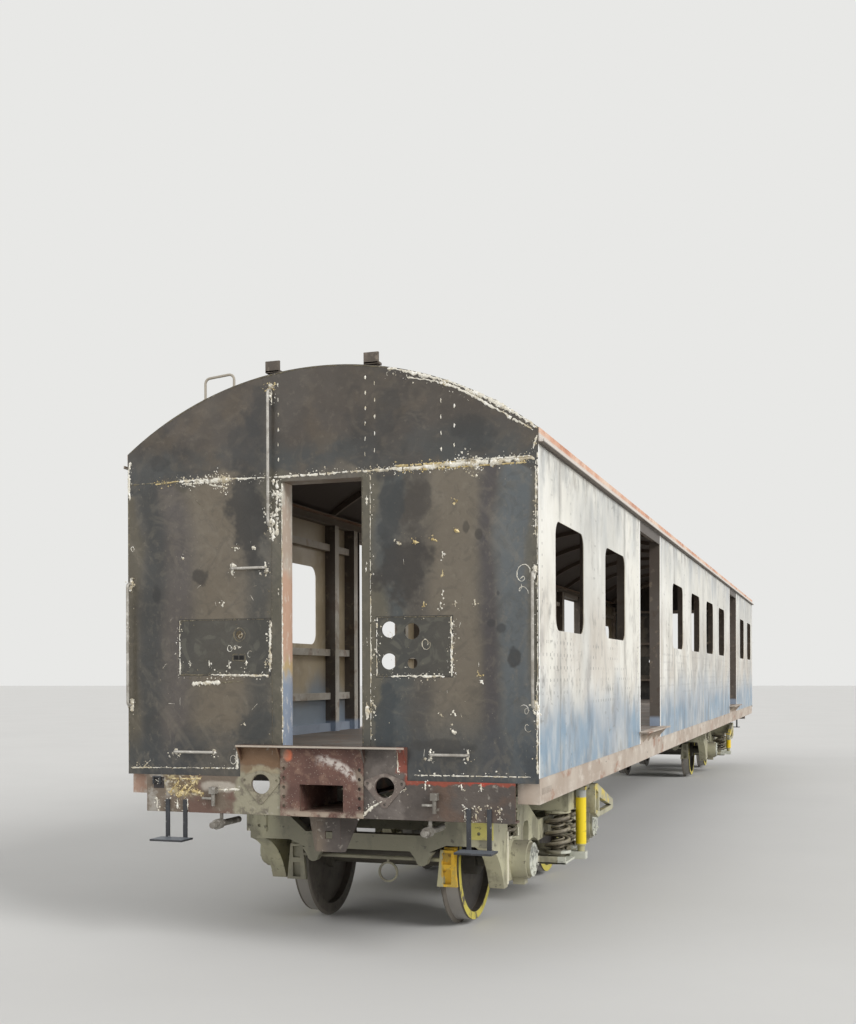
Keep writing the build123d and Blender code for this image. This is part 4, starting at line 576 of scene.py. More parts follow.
def coil_steel():
    """Spring coils: cream paint almost lost under oily dirt, with painted light on top of the turns and
    painted shade under them.
    """
    f = Finish("coil_steel", 0x847c6a, 0.5, 0.1)
    f.paint((0x585044, 0.8, (9, 0.42, 0.62, 2)), (0xbab29a, 0.6, (24, 0.54, 0.68, 7, 1, 7)),
            # Painted light on the faces that look up, painted shade on those that look down
            (0xa8a08c, 0.6, f.step(f.face_z, 0.3, 0.8)), (0x2e2a26, 0.8, f.step(f.face_z, -0.2, -0.8)))
    return f.done((50, 0.0004))


def damper_paint():
    """Yellow damper with darker orange streaks of painted shade, a grey neck and a cream eye at its foot.
    """
    f = Finish("damper_paint", 0xf0d41e, 0.38)
    # The darker orange streaks are painted shade
    f.paint((0xe4b018, 0.7, (5, 0.5, 0.7, 2, 0.3)), (0xaaaca8, 1, f.rise(f.z, 0.785, 0.795)),
            (0xb0aa82, 1, f.rise(f.z, 0.425, 0.415)), (0x786834, 0.6, (22, 0.6, 0.7, 4)))
    return f.done((60, 0.0002))


def brake_yellow():
    """Brake gear: yellow shoe and hanger on one side, dusty cream on the other."""
    f = Finish("brake_yellow", 0x8a8672, 0.6, edge=0.004)
    across = f.across_end()
    f.paint((0x706c5e, 0.7, (6, 0.42, 0.6, 2)))
    painted = f.step(f.wobble(across, 0.012, 12, 3), 0.527, 0.535)
    f.paint((0xdeb024, 0.95, painted), (0xb0984a, 0.75, painted, (14, 0.48, 0.6, 6)),
            (0x543e24, 0.75, painted, (22, 0.58, 0.68, 9, 1, 7)),
            (0xbab48c, 0.7, f.step(across, 0.45, 0.5), f.unless(painted)))
    return f.done((50, 0.0004))


def black_bar():
    """Black painted step bars, scraped grey on top."""
    f = Finish("black_bar", 0x303134, 0.5, 0.1, 0.003)
    f.paint((0x424448, 0.7, (8, 0.45, 0.65, 2)), (0x848a92, 0.6, f.step(f.face_z, 0.4, 0.9)),
            (0xaaaaa8, 0.6, (40, 0.62, 0.7, 5)))
    return f.done((50, 0.0004))


def roof_bracket():
    """Roof fittings: dark brackets, and a paler bar loop."""
    f = Finish("roof_bracket", 0x62584e, 0.6, 0.1)
    f.paint((0x4a423a, 0.8, (9, 0.42, 0.6, 2)), (0x887c6e, 0.6, (20, 0.56, 0.68, 6)),
            (0xa8a092, 0.9, f.step(f.across_end(), -0.5, -0.54)))
    return f.done((50, 0.0004))


# Hand bars: grey steel rubbed bright, its pale colour also painted light for sun on the bars
BAR = Finish("bar_steel", 0xb0aca4, 0.4, 0.3).paint(
    (0x847e74, 0.7, (14, 0.44, 0.62, 2)), (0xcecac2, 0.7, (30, 0.55, 0.68, 5))).done((60, 0.0003))
# Pipe ends, cocks and catches: grey steel with a worn light skin
FITTING = Finish("fitting_steel", 0x8e8a82, 0.45, 0.3, 0.003).paint(
    (0x68625a, 0.75, (9, 0.42, 0.6, 2)), (0xc4c0b8, 0.7, (24, 0.54, 0.68, 6, 1, 7))).done((50, 0.0004))
# Fresh weld: silver and white with straw-coloured heat
BRIGHT = Finish("weld_bright", 0xded9cb, 0.38, 0.25).paint(
    (0xaa9b7a, 0.75, (9, 0.46, 0.62, 2)), (0xf8f6f0, 0.8, (40, 0.5, 0.64, 6)),
    (0x5a5040, 0.7, (20, 0.58, 0.7, 9))).done((160, 0.0012, 0, 2))
# Ground or smoked weld, olive grey with bright specks
DULL = Finish("weld_dull", 0x706854, 0.55, 0.25).paint(
    (0x544e42, 0.8, (18, 0.44, 0.6, 2)), (0xc4bca8, 0.7, (45, 0.56, 0.66, 6))).done((120, 0.0012, 0, 3))
# Spatter that kept its straw heat colour
GOLD = Finish("gold_fleck", 0xbaa470, 0.38, 0.3).paint(
    (0xe2d4ac, 0.7, (40, 0.45, 0.6, 2)), (0x62543a, 0.7, (20, 0.56, 0.68, 9))).done((120, 0.0008, 0, 3))
# Painted shade: a dark finish for blocks that stand for the inside of a small opening
SLOT_SHADE = Finish("slot_painted_shade", 0x141211, 0.9).done()


def dress(material, *names):
    """Give CAD nodes a finish, and return it."""
    for name in names:
        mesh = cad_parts[name].data
        mesh.materials.clear()
        mesh.materials.append(material)
    return material


def ends(*stems):
    """The near and far node of each stem."""
    return [f"{stem}_{end}" for stem in stems for end in ("near", "far")]


dress(end_steel(), *ends("end_sheet"), "end_plates")
dress(side_steel(), *ends("side_panel_right", "side_panel_left"), "side_panel_right_mid",
      "side_panel_left_mid")
dress(roof_steel(), "roof_sheet")
dress(old_frame(), "side_framing_right", "side_framing_left", "roof_carlines")
dress(jamb_frame(), *ends("end_framing"))
dress(floor_steel(), "floor_deck")
dress(cant_primer(), "cant_rails")
dress(headstock_paint(), *ends("headstock"))
dress(FITTING, "air_pipes")
dress(rust_plate(), "draw_plates", "coupler_pockets")
dress(sill_paint(), "solebars", "door_thresholds")
dress(under_steel(), "centre_sills", "crossbearers", "body_bolsters")
for bogie, centre in enumerate((-BOGIE_CENTRE, BOGIE_CENTRE)):
    dress(wheel_steel(centre - HALF_BASE), f"wheelset_{2 * bogie + 1}")
    dress(wheel_steel(centre + HALF_BASE), f"wheelset_{2 * bogie + 2}")
dress(damper_paint(), *ends("dampers"))
dress(brake_yellow(), *ends("brake_gear"))
BOGIE = dress(bogie_paint(), *ends("bogie_frame", "bogie_bolster", "axleboxes"))
COIL = dress(coil_steel(), *ends("bogie_springs"))
BLACK = dress(black_bar(), "footsteps")
dress(BAR, "grab_irons")
ROOF_IRON = dress(roof_bracket(), "roof_fittings")


def rounded(points, radius, steps=5):
    """A route whose inner corners are turned into arcs."""
    points = [Vector(p) for p in points]
    route = [points[0]]
    for before, corner, after in zip(points, points[1:], points[2:]):
        back = (before - corner).normalized()
        on = (after - corner).normalized()
        half = back.angle(on) / 2
        reach = radius / math.tan(half)
        middle = corner + (back + on).normalized() * (radius / math.sin(half))
        start = corner + back * reach - middle
        finish = corner + on * reach - middle
        sweep = start.angle(finish)
        for i in range(steps + 1):
            share = i / steps
            route.append(middle + (start * math.sin((1 - share) * sweep)
                                   + finish * math.sin(share * sweep)) / math.sin(sweep))
    return route + [points[-1]]


def resample(points, step):
    """Points at even steps along a route."""
    points = [Vector(p) for p in points]
    lengths = [0.0]
    for a, b in zip(points, points[1:]):
        lengths.append(lengths[-1] + (b - a).length)
    count = max(2, round(lengths[-1] / step))
    route = []
    k = 0
    for i in range(count + 1):
        target = lengths[-1] * i / count
        while k < len(points) - 2 and lengths[k + 1] < target:
            k += 1
        span = max(lengths[k + 1] - lengths[k], 1e-9)
        route.append(points[k].lerp(points[k + 1], (target - lengths[k]) / span))
    return route


def circle(centre, first, other, radius, count):
    """Points round a centre in the plane of two directions."""
    turns = [2 * math.pi * k / count for k in range(count)]
    return [centre + (first * math.cos(t) + other * math.sin(t)) * radius for t in turns]


class Shape:
    """A mesh that grows solid by solid, in metres in the coach's frame."""

    def __init__(self):
        self.verts = []
        self.faces = []

    def add(self, verts, faces):
        """Add points and the faces between them."""
        first = len(self.verts)
        self.verts += [Vector(v) for v in verts]
        self.faces += [[first + i for i in face] for face in faces]

    def rings(self, rings):
        """Skin rings of points, with flat ends."""
        count = len(rings[0])
        last = (len(rings) - 1) * count
        faces = []
        for a in range(0, last, count):
            for i in range(count):
                j = (i + 1) % count
                faces.append([a + i, a + j, a + count + j, a + count + i])
        faces.append(list(range(count - 1, -1, -1)))
        faces.append(list(range(last, last + count)))
        self.add([v for ring in rings for v in ring], faces)

    def tube(self, points, radius, sides=12):
        """A round bar along a route."""
        points = [Vector(p) for p in points]
        normal = None
        rings = []
        for i, point in enumerate(points):
            along = points[min(i + 1, len(points) - 1)] - points[max(i - 1, 0)]
            along.normalize()
            if normal is None:
                normal = along.orthogonal().normalized()
            normal = (normal - along * normal.dot(along)).normalized()
            rings.append(circle(point, normal, along.cross(normal), radius, sides))
        self.rings(rings)

    def take(self, made):
        """Take over the mesh of a bmesh."""
        made.verts.index_update()
        self.add([v.co for v in made.verts], [[v.index for v in f.verts] for f in made.faces])
        made.free()

    def block(self, x, y, z, bevel=0.006):
        """A block between pairs of limits, with rounded edges."""
        made = bmesh.new()
        bmesh.ops.create_cube(made, size=1.0)
        low = Vector((min(x), min(y), min(z)))
        size = Vector((max(x), max(y), max(z))) - low
        for v in made.verts:
            v.co = low + Vector([size[k] * (v.co[k] + 0.5) for k in range(3)])
        bmesh.ops.bevel(made, geom=made.edges[:], offset=min(bevel, min(size) * 0.4),
                        segments=2, affect="EDGES", profile=0.7)
        self.take(made)

    def lathe(self, profile, centre, axis, steps=24):
        """A turned solid from (radius, along) pairs, with both ends on the axis or flat."""
        axis = Vector(axis).normalized()
        first = axis.orthogonal().normalized()
        self.rings([circle(Vector(centre) + axis * along, first, axis.cross(first), radius, steps)
                    for radius, along in profile])

    def bolt(self, centre, axis, size, height):
        """A hexagon head with a chamfer, on a washer."""
        self.lathe([(size * 0.75, 0), (size * 0.75, 0.002)], centre, axis, 12)
        self.lathe([(size * 0.56, 0.001), (size * 0.58, height * 0.8), (size * 0.46, height)],
                   centre, axis, 6)

    def prism(self, outline, low, high, bevel):
        """A flat shape given by pairs of X and Z, pulled along Y between two limits."""
        made = bmesh.new()
        face = made.faces.new([made.verts.new((u, low, v)) for u, v in outline])
        pulled = bmesh.ops.extrude_face_region(made, geom=[face])
        bmesh.ops.translate(made, vec=Vector((0, high - low, 0)),
                            verts=[v for v in pulled["geom"] if isinstance(v, bmesh.types.BMVert)])
        bmesh.ops.recalc_face_normals(made, faces=made.faces)
        sharp = [e for e in made.edges if e.calc_face_angle(0) > 0.5]
        bmesh.ops.bevel(made, geom=sharp, offset=bevel, segments=2, affect="EDGES", profile=0.7)
        self.take(made)

    def bead(self, points, width, height, seed, step=0.011, gaps=0.0):
        """A lumpy weld that lies along a route on a surface that faces out."""
        draw = random.Random(seed)
        route = resample(points, step)
        arch = ((-1, -0.3), (-0.7, 0.6), (0, 1), (0.7, 0.6), (1, -0.3))
        rings = []
        slow = 0.95
        for i, point in enumerate(route):
            along = (route[min(i + 1, len(route) - 1)] - route[max(i - 1, 0)]).normalized()
            side = along.cross(OUT).normalized()
            slow = min(max(slow + draw.gauss(0, 0.22), 0.5), 1.35)
            swell = (0.6 + 0.6 * draw.random()) * slow
            if i in (0, len(route) - 1):
                swell = 0.3
            point = point + side * width * (0.35 * (draw.random() - 0.5) + 0.35 * (slow - 0.9))
            rings.append([point + side * (u * width / 2 * swell) + OUT * (v * height * swell)
                          for u, v in arch])
            if gaps and len(rings) > 2 and draw.random() < gaps:
                self.rings(rings)
                rings = []
        if len(rings) > 1:
            self.rings(rings)

    def fleck(self, centre, size, draw):
        """A squashed drop of spatter."""
        first = OUT.orthogonal().normalized()
        other = OUT.cross(first)
        turn = draw.random() * math.pi
        ring = []
        for k in range(4):
            t = turn + k * math.pi / 2
            reach = size * (0.5 + 0.8 * draw.random())
            ring.append(centre + (first * math.cos(t) + other * math.sin(t)) * reach)
        tip = centre + OUT * size * (0.35 + 0.3 * draw.random())
        foot = centre - OUT * size * 0.1
        self.add(ring + [tip, foot], [(k, (k + 1) % 4, 4) for k in range(4)]
                 + [((k + 1) % 4, k, 5) for k in range(4)])

    def spatter(self, points, count, spread, size, seed, inside=None):
        """Drops scattered on both sides of a route, where the place is inside the sheet."""
        draw = random.Random(seed)
        route = resample(points, 0.02)
        for _ in range(count):
            i = draw.randrange(len(route) - 1)
            along = (route[i + 1] - route[i]).normalized()
            side = along.cross(OUT)
            point = route[i] + side * draw.gauss(0, spread) + along * draw.uniform(-0.02, 0.02)
            if inside is None or inside(point):
                self.fleck(point, size * (0.4 + draw.random() ** 2 * 1.4), draw)

    def coil(self, centre, low, high, radius, wire, turns, sides):
        """An upright helical spring with flattened ends."""
        steps = round(turns * 20)
        route = []
        for i in range(steps + 1):
            share = i / steps
            eased = min(max((share - 0.08) / 0.84, 0), 1)
            angle = 2 * math.pi * turns * share
            level = low + wire + (high - low - 2 * wire) * eased
            route.append((centre[0] + radius * math.cos(angle),
                          centre[1] + radius * math.sin(angle), level))
        self.tube(route, wire, sides)

    def turned(self):
        """The same shape turned half round, as it is at the other end."""
        other = Shape()
        other.add([(-v.x, -v.y, v.z) for v in self.verts], self.faces)
        return other

    def piece(self, name, material, slot, body="coach_body"):
        """Make the object, smooth over small angles, and let it ride on a body."""
        mesh = bpy.data.meshes.new(name)
        mesh.from_pydata([tuple(v) for v in self.verts], [], self.faces)
        mesh.materials.append(material)
        mesh.shade_smooth()
        mesh.set_sharp_from_angle(angle=math.radians(40))
        made = put(name, mesh)
        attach(made, body)
        return made

    def at_ends(self, name, material, slot):
        """Make a piece of the shape at the near end and its half turn at the far end."""
        other = self.turned()
        self.add(other.verts, other.faces)
        return self.piece(name, material, slot)

    def on_bogie(self, end, name, material, slot):
        """Make a piece that rides on one bogie, turned half round for the far one."""
        shape = self.turned() if end == "far" else self
        return shape.piece(f"{name}_{end}", material, slot, f"bogie_{end}")


def put(name, data):
    """Make an object and link it to the scene."""
    made = bpy.data.objects.new(name, data)
    bpy.context.scene.collection.objects.link(made)
    return made


def on_end(x, height, off=0.0):
    """A point on the near end sheet, by its place across and its height over the rail."""
    return Vector((x, END_FACE - off, RAIL + height))


def on_beam(x, height):
    """The same on the near headstock."""
    return Vector((x, HEADSTOCK_FACE, RAIL + height))


def arch_height(x):
    """Height over the rail of the roof line, at a place across."""
    return ROOF_TOP - ROOF_RADIUS + math.sqrt(ROOF_RADIUS**2 - x * x) - RAIL


def under_arch(start, reach, count, drop, wave=0.0):
    """A route that follows the roof line at the top of the near end."""
    places = [start + reach * i / count for i in range(count + 1)]
    return [on_end(x, arch_height(x) - drop + wave * math.sin(x * 9)) for x in places]


def on_sheet(point):
    """Whether a drop at a point would lie on the near end sheet, beside or over the doorway."""
    DRAW_HALF, DRAW_TOP = 0.62, RAIL + 1.33
    DOOR_EDGE, DOOR_TOP = 0.28, RAIL + 3.04
    MARGIN = 0.008
    across = abs(point.x)
    low = SHEET_BOTTOM + 0.01 if across > DRAW_HALF else DRAW_TOP
    high = RAIL + arch_height(min(across, HALF_WIDTH)) - MARGIN
    beside = across > DOOR_EDGE or point.z > DOOR_TOP
    return beside and across < HALF_WIDTH - MARGIN and low < point.z < high


def weld(rows, place, seeds, spread, size, inside=None):
    """Beads and the drops beside them, from rows in millimetres with their gaps in percent."""
    for row, (x, z, end_x, end_z, width, height, gaps, drops, kind) in enumerate(rows):
        route = [place(x / 1000, z / 1000), place(end_x / 1000, end_z / 1000)]
        kind.bead(route, width / 1000, height / 1000, seeds[0] + row, gaps=gaps / 100)
        kind.spatter(route, drops, spread, size, seeds[1] + row, inside)


def end_welds():
    """Weld seams, patches, tacks and spatter on the ends."""
    bright, dull, gold = Shape(), Shape(), Shape()
    LINES = [
        # from x and height, to x and height, width, bead height (mm), gaps (percent), drops, kind
        (-1400, 3045, -1200, 3048, 10, 2, 25, 16, dull), (-1200, 3048, -1020, 3046, 22, 3, 20, 26, dull),
        (-1200, 3040, -1020, 3052, 12, 4, 25, 20, gold), (-1020, 3050, -800, 3046, 24, 6, 2, 70, bright),
        (-800, 3046, -640, 3050, 30, 6, 0, 70, bright), (-1000, 3032, -660, 3036, 10, 3, 12, 30, bright),
        (-980, 3030, -900, 3006, 12, 4, 0, 8, bright), (-800, 3018, -660, 2992, 8, 3, 5, 6, bright),
        (-900, 2930, -860, 2885, 6, 2, 10, 2, dull), (-640, 3048, -350, 3040, 12, 3, 10, 40, bright),
        (-330, 3042, 340, 3048, 14, 4, 20, 120, bright), (340, 3048, 460, 3050, 20, 5, 5, 40, bright),
        (460, 3050, 920, 3052, 26, 7, 4, 120, bright), (740, 3056, 1390, 3062, 36, 9, 2, 160, bright),
        (500, 3066, 980, 3070, 14, 5, 10, 50, gold), (900, 3074, 1370, 3078, 14, 6, 12, 50, bright),
        (520, 3036, 1340, 3042, 11, 4, 16, 60, gold), (-345, 1330, -345, 2620, 9, 3, 14, 60, dull),
        (-276, 1330, -276, 3000, 9, 3, 12, 70, bright), (-276.5, 1330, -276.5, 3000, 6, 3, 0, 0, bright),
        (-338, 2620, -334, 3030, 26, 7, 5, 110, bright), (-312, 2660, -308, 3020, 22, 7, 20, 90, bright),
        (-288, 2600, -286, 2970, 24, 7, 10, 90, bright), (-335, 2780, -285, 2840, 22, 8, 0, 20, bright),
        (-335, 2950, -285, 2900, 20, 8, 0, 20, bright), (-283, 1560, -283, 1800, 14, 5, 15, 26, bright),
        (-300, 2200, -300, 2340, 12, 4, 15, 16, bright), (282, 1330, 282, 3020, 9, 3, 14, 70, dull),
        (333, 1360, 333, 3020, 9, 3, 12, 70, bright), (308, 2740, 312, 3000, 22, 6, 16, 60, bright),
        (306, 2400, 310, 2520, 20, 6, 10, 30, bright), (310, 1940, 306, 2060, 18, 5, 12, 26, bright),
        (304, 1480, 310, 1640, 30, 9, 0, 50, bright), (300, 1360, 306, 1440, 18, 6, 10, 20, gold),
        (-1019, 1770, -1019, 2130, 10, 3, 5, 26, bright), (-361, 1790, -361, 2120, 22, 6, 0, 50, bright),
        (-790, 1770, -360, 1766, 15, 5, 3, 50, bright), (-1020, 1772, -790, 1770, 7, 2, 20, 20, dull),
        (-1020, 2129, -360, 2129, 6, 2, 16, 20, dull), (-930, 1716, -720, 1722, 24, 6, 0, 16, bright),
        (-720, 1722, -560, 1728, 10, 3, 16, 10, dull), (375, 1758, 375, 2126, 10, 3, 24, 26, bright),
        (867, 1758, 867, 2126, 24, 7, 0, 60, bright), (470, 1758, 820, 1757, 17, 5, 3, 50, bright),
        (375, 1758, 470, 1758, 8, 2, 20, 10, dull), (375, 2126, 868, 2126, 6, 2, 18, 20, dull),
        (-1390, 1152, -1230, 1156, 10, 4, 10, 10, bright), (-1300, 1152, -1240, 1205, 10, 4, 0, 6, bright),
        (-1227, 1154, -600, 1164, 8, 3, 15, 20, bright), (-600, 1155, -600, 1300, 17, 6, 0, 24, bright),
        (620, 1146, 1360, 1150, 9, 3, 12, 40, bright), (-1405, 1200, -1405, 2950, 7, 2, 25, 40, dull),
        (-1400, 2950, -1405, 3120, 16, 5, 5, 24, bright), (1405, 1700, 1405, 3100, 8, 3, 10, 60, bright),
        (1402, 1170, 1402, 1720, 15, 6, 0, 40, bright), (1395, 2600, 1398, 3050, 13, 4, 10, 30, bright),
        (1385, 3120, 1405, 3200, 22, 10, 0, 10, bright), (-1405, 3120, -1392, 3200, 22, 10, 0, 10, bright),
        (-390, 3600, -310, 3640, 14, 4, 10, 20, gold), (-345, 3520, -345, 3600, 14, 7, 0, 10, bright),
    ]
    weld(LINES, on_end, (100, 300), 0.018, 0.0042, on_sheet)
    TACKS = [
        # from x and height, to x and height, width (mm), kind
        (-943, 1828, -943, 1866, 8, bright), (-802, 1828, -802, 1866, 8, bright),
        (-655, 1828, -655, 1866, 8, bright), (-533, 1828, -533, 1866, 8, bright),
        (-392, 1828, -392, 1866, 8, bright), (685, 2185, 687, 2222, 10, gold),
        (793, 2180, 793, 2215, 10, bright), (890, 2183, 890, 2222, 10, bright),
        (1013, 2187, 1013, 2226, 10, bright), (809, 2485, 809, 2525, 9, bright),
        (809, 2376, 809, 2412, 9, gold), (809, 2256, 809, 2290, 9, bright),
        (735, 2604, 775, 2588, 20, gold), (618, 2598, 656, 2582, 18, gold),
        (882, 2655, 918, 2640, 18, gold), (508, 2594, 540, 2578, 16, bright),
        (862, 1424, 896, 1412, 22, bright), (786, 1522, 810, 1506, 16, bright),
        (874, 1532, 894, 1516, 16, bright), (1046, 1724, 1066, 1708, 16, bright),
        (1035, 1768, 1055, 1756, 14, gold), (-615, 2600, -585, 2588, 16, bright),
        (-490, 2600, -460, 2588, 14, bright), (-1005, 2552, -985, 2540, 14, bright),
        (-555, 1455, -540, 1440, 14, bright), (-704, 2236, -696, 2214, 10, bright),
        (880, 2846, 896, 2830, 14, gold),
    ]
    for row, (x, z, end_x, end_z, width, kind) in enumerate(TACKS):
        route = [on_end(x / 1000, z / 1000), on_end(end_x / 1000, end_z / 1000)]
        kind.bead(route, width / 1000, width / 1000 * 0.4, 600 + row, step=0.007)
        kind.spatter(route, 5, 0.012, 0.006, 640 + row, on_sheet)
    # Seams that follow the roof line
    right_arc = under_arch(0.45, 0.955, 36, 0.010)
    bright.bead(right_arc, 0.024, 0.006, 41)
    bright.bead(under_arch(0.58, 0.80, 28, 0.038, 0.012), 0.016, 0.005, 42, gaps=0.04)
    bright.spatter(right_arc, 200, 0.028, 0.0045, 43, on_sheet)
    dull.bead(under_arch(-1.40, 1.85, 50, 0.006), 0.007, 0.003, 44, gaps=0.06)
    for x, z, spread in ((-0.32, 2.82, 0.045), (0.31, 1.55, 0.035), (1.0, 3.06, 0.05),
                         (-0.72, 3.05, 0.05)):
        bright.spatter([on_end(x - 0.03, z - 0.05), on_end(x + 0.03, z + 0.05)],
                       60, spread, 0.006, int(abs(x) * 1000), on_sheet)
    # The small twin opening in the left plate as dark blocks of painted shade, and the ring round its hole
    slots = Shape()
    for x in (-0.604, -0.566):
        slots.block((x - 0.016, x + 0.016), (END_FACE - 0.0012, END_FACE + 0.004),
                    (RAIL + 1.869, RAIL + 1.895), 0.0006)
    slots.at_ends("plate_slots", SLOT_SHADE, "bare_end_steel")
    ring = [(-0.63, 1.862), (-0.63, 1.903), (-0.54, 1.903), (-0.54, 1.862), (-0.63, 1.862)]
    dull.bead([on_end(x, z) for x, z in ring], 0.009, 0.003, 45, gaps=0.1)
    hole = [on_end(-0.58 + 0.041 * math.cos(t / 4), 2.03 + 0.045 * math.sin(t / 4)) for t in range(26)]
    dull.bead(hole, 0.011, 0.003, 46)
    # Loose drops all over the sheet
    draw = random.Random(5)
    for _ in range(150):
        x = draw.choice((draw.uniform(-1.36, -0.32), draw.uniform(0.32, 1.36)))
        dull.fleck(on_end(x, draw.uniform(1.2, 3.02)), draw.uniform(0.0015, 0.004), draw)
    bright.at_ends("end_welds_bright", BRIGHT, "bare_end_steel")
    dull.at_ends("end_welds_dull", DULL, "bare_end_steel")
    gold.at_ends("end_welds_gold", GOLD, "bare_end_steel")


def headstock_welds():
    """Torch cuts, drips, spatter by the step bars and a bracket on the headstocks."""
    bright, gold, bracket = Shape(), Shape(), Shape()
    LINES = [
        # from x and height, to x and height, width, bead height (mm), gaps (percent), drops, kind
        (-1100, 985, -1020, 1070, 20, 6, 5, 30, gold), (-1040, 965, -960, 1050, 24, 7, 5, 40, gold),
        (-980, 975, -900, 1080, 18, 6, 5, 30, gold), (-930, 1010, -840, 990, 20, 6, 5, 30, gold),
        (-1080, 1085, -860, 1090, 12, 4, 10, 20, gold), (-1205, 1075, -1160, 1050, 12, 5, 0, 8, bright),
        (-740, 1020, -580, 1028, 12, 2, 20, 20, bright), (512, 1160, 512, 1285, 10, 4, 5, 10, bright),
        (693, 1095, 693, 1055, 12, 5, 0, 8, bright), (928, 1100, 928, 1060, 10, 4, 0, 8, bright),
        (1050, 1105, 1050, 1055, 14, 5, 0, 8, bright), (264, 872, 348, 947, 18, 6, 0, 20, bright),
        (348, 947, 572, 1060, 14, 5, 5, 30, bright),
    ]
    weld(LINES, on_beam, (800, 830), 0.016, 0.0045)
    # Short beads beside the bars of the steps
    for row, x in enumerate((0.95, 1.02, 1.10, 1.17, -0.965, -1.035, -1.115, -1.19)):
        bright.bead([on_beam(x, 0.885), on_beam(x, 0.955)], 0.012, 0.006, 860 + row, gaps=0.1)
        bright.spatter([on_beam(x, 0.88), on_beam(x, 0.97)], 20, 0.014, 0.005, 880 + row)
    # The bracket, as pairs across and over the rail
    hook = [(-1.217, 1.100), (-1.217, 1.046), (-1.207, 1.046), (-1.207, 1.090), (-1.168, 1.090),
            (-1.168, 1.046), (-1.158, 1.046), (-1.158, 1.100)]
    bracket.prism([(x, RAIL + z) for x, z in hook], HEADSTOCK_FACE - 0.014, HEADSTOCK_FACE + 0.002, 0.002)
    bright.at_ends("headstock_welds", BRIGHT, "headstock_paint")
    gold.at_ends("headstock_cuts", GOLD, "headstock_paint")
    bracket.at_ends("headstock_bracket", BLACK, "headstock_paint")


def curl(centre, size, turns, seed):
    """A loose looping line such as a disc grinder leaves."""
    draw = random.Random(seed)
    drift = Vector((draw.uniform(-1, 1), 0, draw.uniform(-1, 1))) * size
    points = []
    for i in range(int(turns * 14) + 1):
        angle = 2 * math.pi * i / 14
        share = i / (turns * 14)
        reach = size * (0.5 + 0.5 * math.sin(share * 5 + seed))
        points.append(centre + drift * (share - 0.5)
                      + Vector((math.cos(angle), 0, math.sin(angle) * 1.3)) * reach)
    return points


def end_scribbles():
    """Ground loops and scratches beside the let-in plates and the corners."""
    marks = Shape()
    LOOPS = [
        # x, height, size, turns
        (-0.645, 1.945, 0.020, 1.6), (-0.610, 1.945, 0.018, 1.4), (-0.585, 1.950, 0.014, 1.0),
        (-0.580, 2.030, 0.026, 1.1), (-0.50, 1.915, 0.022, 0.8), (0.71, 1.960, 0.038, 1.0),
        (0.47, 2.00, 0.030, 0.8), (1.315, 2.36, 0.045, 1.6), (1.30, 2.27, 0.040, 1.2),
        (1.325, 1.54, 0.042, 1.4), (1.345, 1.46, 0.030, 0.9), (-1.37, 2.62, 0.018, 1.0),
        (-0.62, 1.22, 0.030, 1.2),
    ]
    for row, (x, height, size, turns) in enumerate(LOOPS):
        marks.bead(curl(on_end(x, height), size, turns, row), 0.0050, 0.0016, 500 + row, step=0.006)
    # Short scratches
    draw = random.Random(8)
    for _ in range(18):
        x = draw.choice((draw.uniform(-1.2, -0.4), draw.uniform(0.4, 1.2)))
        start = on_end(x, draw.uniform(1.25, 2.9))
        angle = draw.gauss(1.2, 0.7)
        reach = draw.uniform(0.02, 0.06)
        finish = start + Vector((math.cos(angle), 0, math.sin(angle))) * reach
        marks.bead([start, finish], 0.0024, 0.0006, draw.randrange(9999), step=0.01)
    marks.at_ends("end_scribbles", BRIGHT, "bare_end_steel")


def end_ticks():
    """Short weld ticks in upright columns above the seam on the ends."""
    ticks = Shape()
    COLUMNS = [
        # x, lowest and highest, count
        (-0.300, 3.14, 3.62, 6), (0.300, 3.14, 3.62, 6), (0.363, 3.16, 3.58, 5),
        (0.800, 3.14, 3.44, 4), (0.885, 3.16, 3.40, 3),
    ]
    for row, (x, low, high, count) in enumerate(COLUMNS):
        for i in range(count):
            level = low + (high - low) * i / (count - 1)
            ticks.bead([on_end(x, level), on_end(x, level + 0.026)], 0.010, 0.004,
                       900 + row * 10 + i, step=0.008)
    ticks.at_ends("end_ticks", BRIGHT, "bare_end_steel")


def grab_irons():
    """Round hand bars with bent ends on lumpy weld pads."""
    BAR_RADIUS, BAR_BEND, FOOT_DEPTH = 0.0095, 0.022, 0.004
    PAD_WIDTH, PAD_HEIGHT, PAD_DROPS = 0.026, 0.011, 14
    bars, pads = Shape(), Shape()
    BARS = [
        # first x and height, last x and height, stand-off of the bar's middle, pad length
        ((-1.385, 1.57), (-1.385, 2.38), 0.049, 0.09),
        ((1.385, 1.57), (1.385, 2.38), 0.049, 0.09),
        ((-0.355, 2.73), (-0.355, 3.60), 0.039, 0.10),
        ((-0.630, 2.46), (-0.390, 2.46), 0.034, 0.08),
        ((-1.050, 1.265), (-0.770, 1.265), 0.034, 0.04),
        ((0.730, 1.275), (0.970, 1.275), 0.034, 0.07),
    ]
    for row, (first, last, off, pad) in enumerate(BARS):
        bars.tube(rounded([on_end(*first, -FOOT_DEPTH), on_end(*first, off), on_end(*last, off),
                           on_end(*last, -FOOT_DEPTH)], BAR_BEND), BAR_RADIUS)
        for k, (x, height) in enumerate((first, last)):
            foot = [on_end(x, height - pad / 2), on_end(x, height + pad / 2)]
            pads.bead(foot, PAD_WIDTH, PAD_HEIGHT, 700 + row * 2 + k, step=0.008)
            pads.spatter(foot, PAD_DROPS, 0.02, 0.006, 730 + row * 2 + k)
    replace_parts(bars.at_ends("grab_bars", BAR, "frame_steel"), "grab_irons")
    pads.at_ends("grab_pads", BRIGHT, "frame_steel")


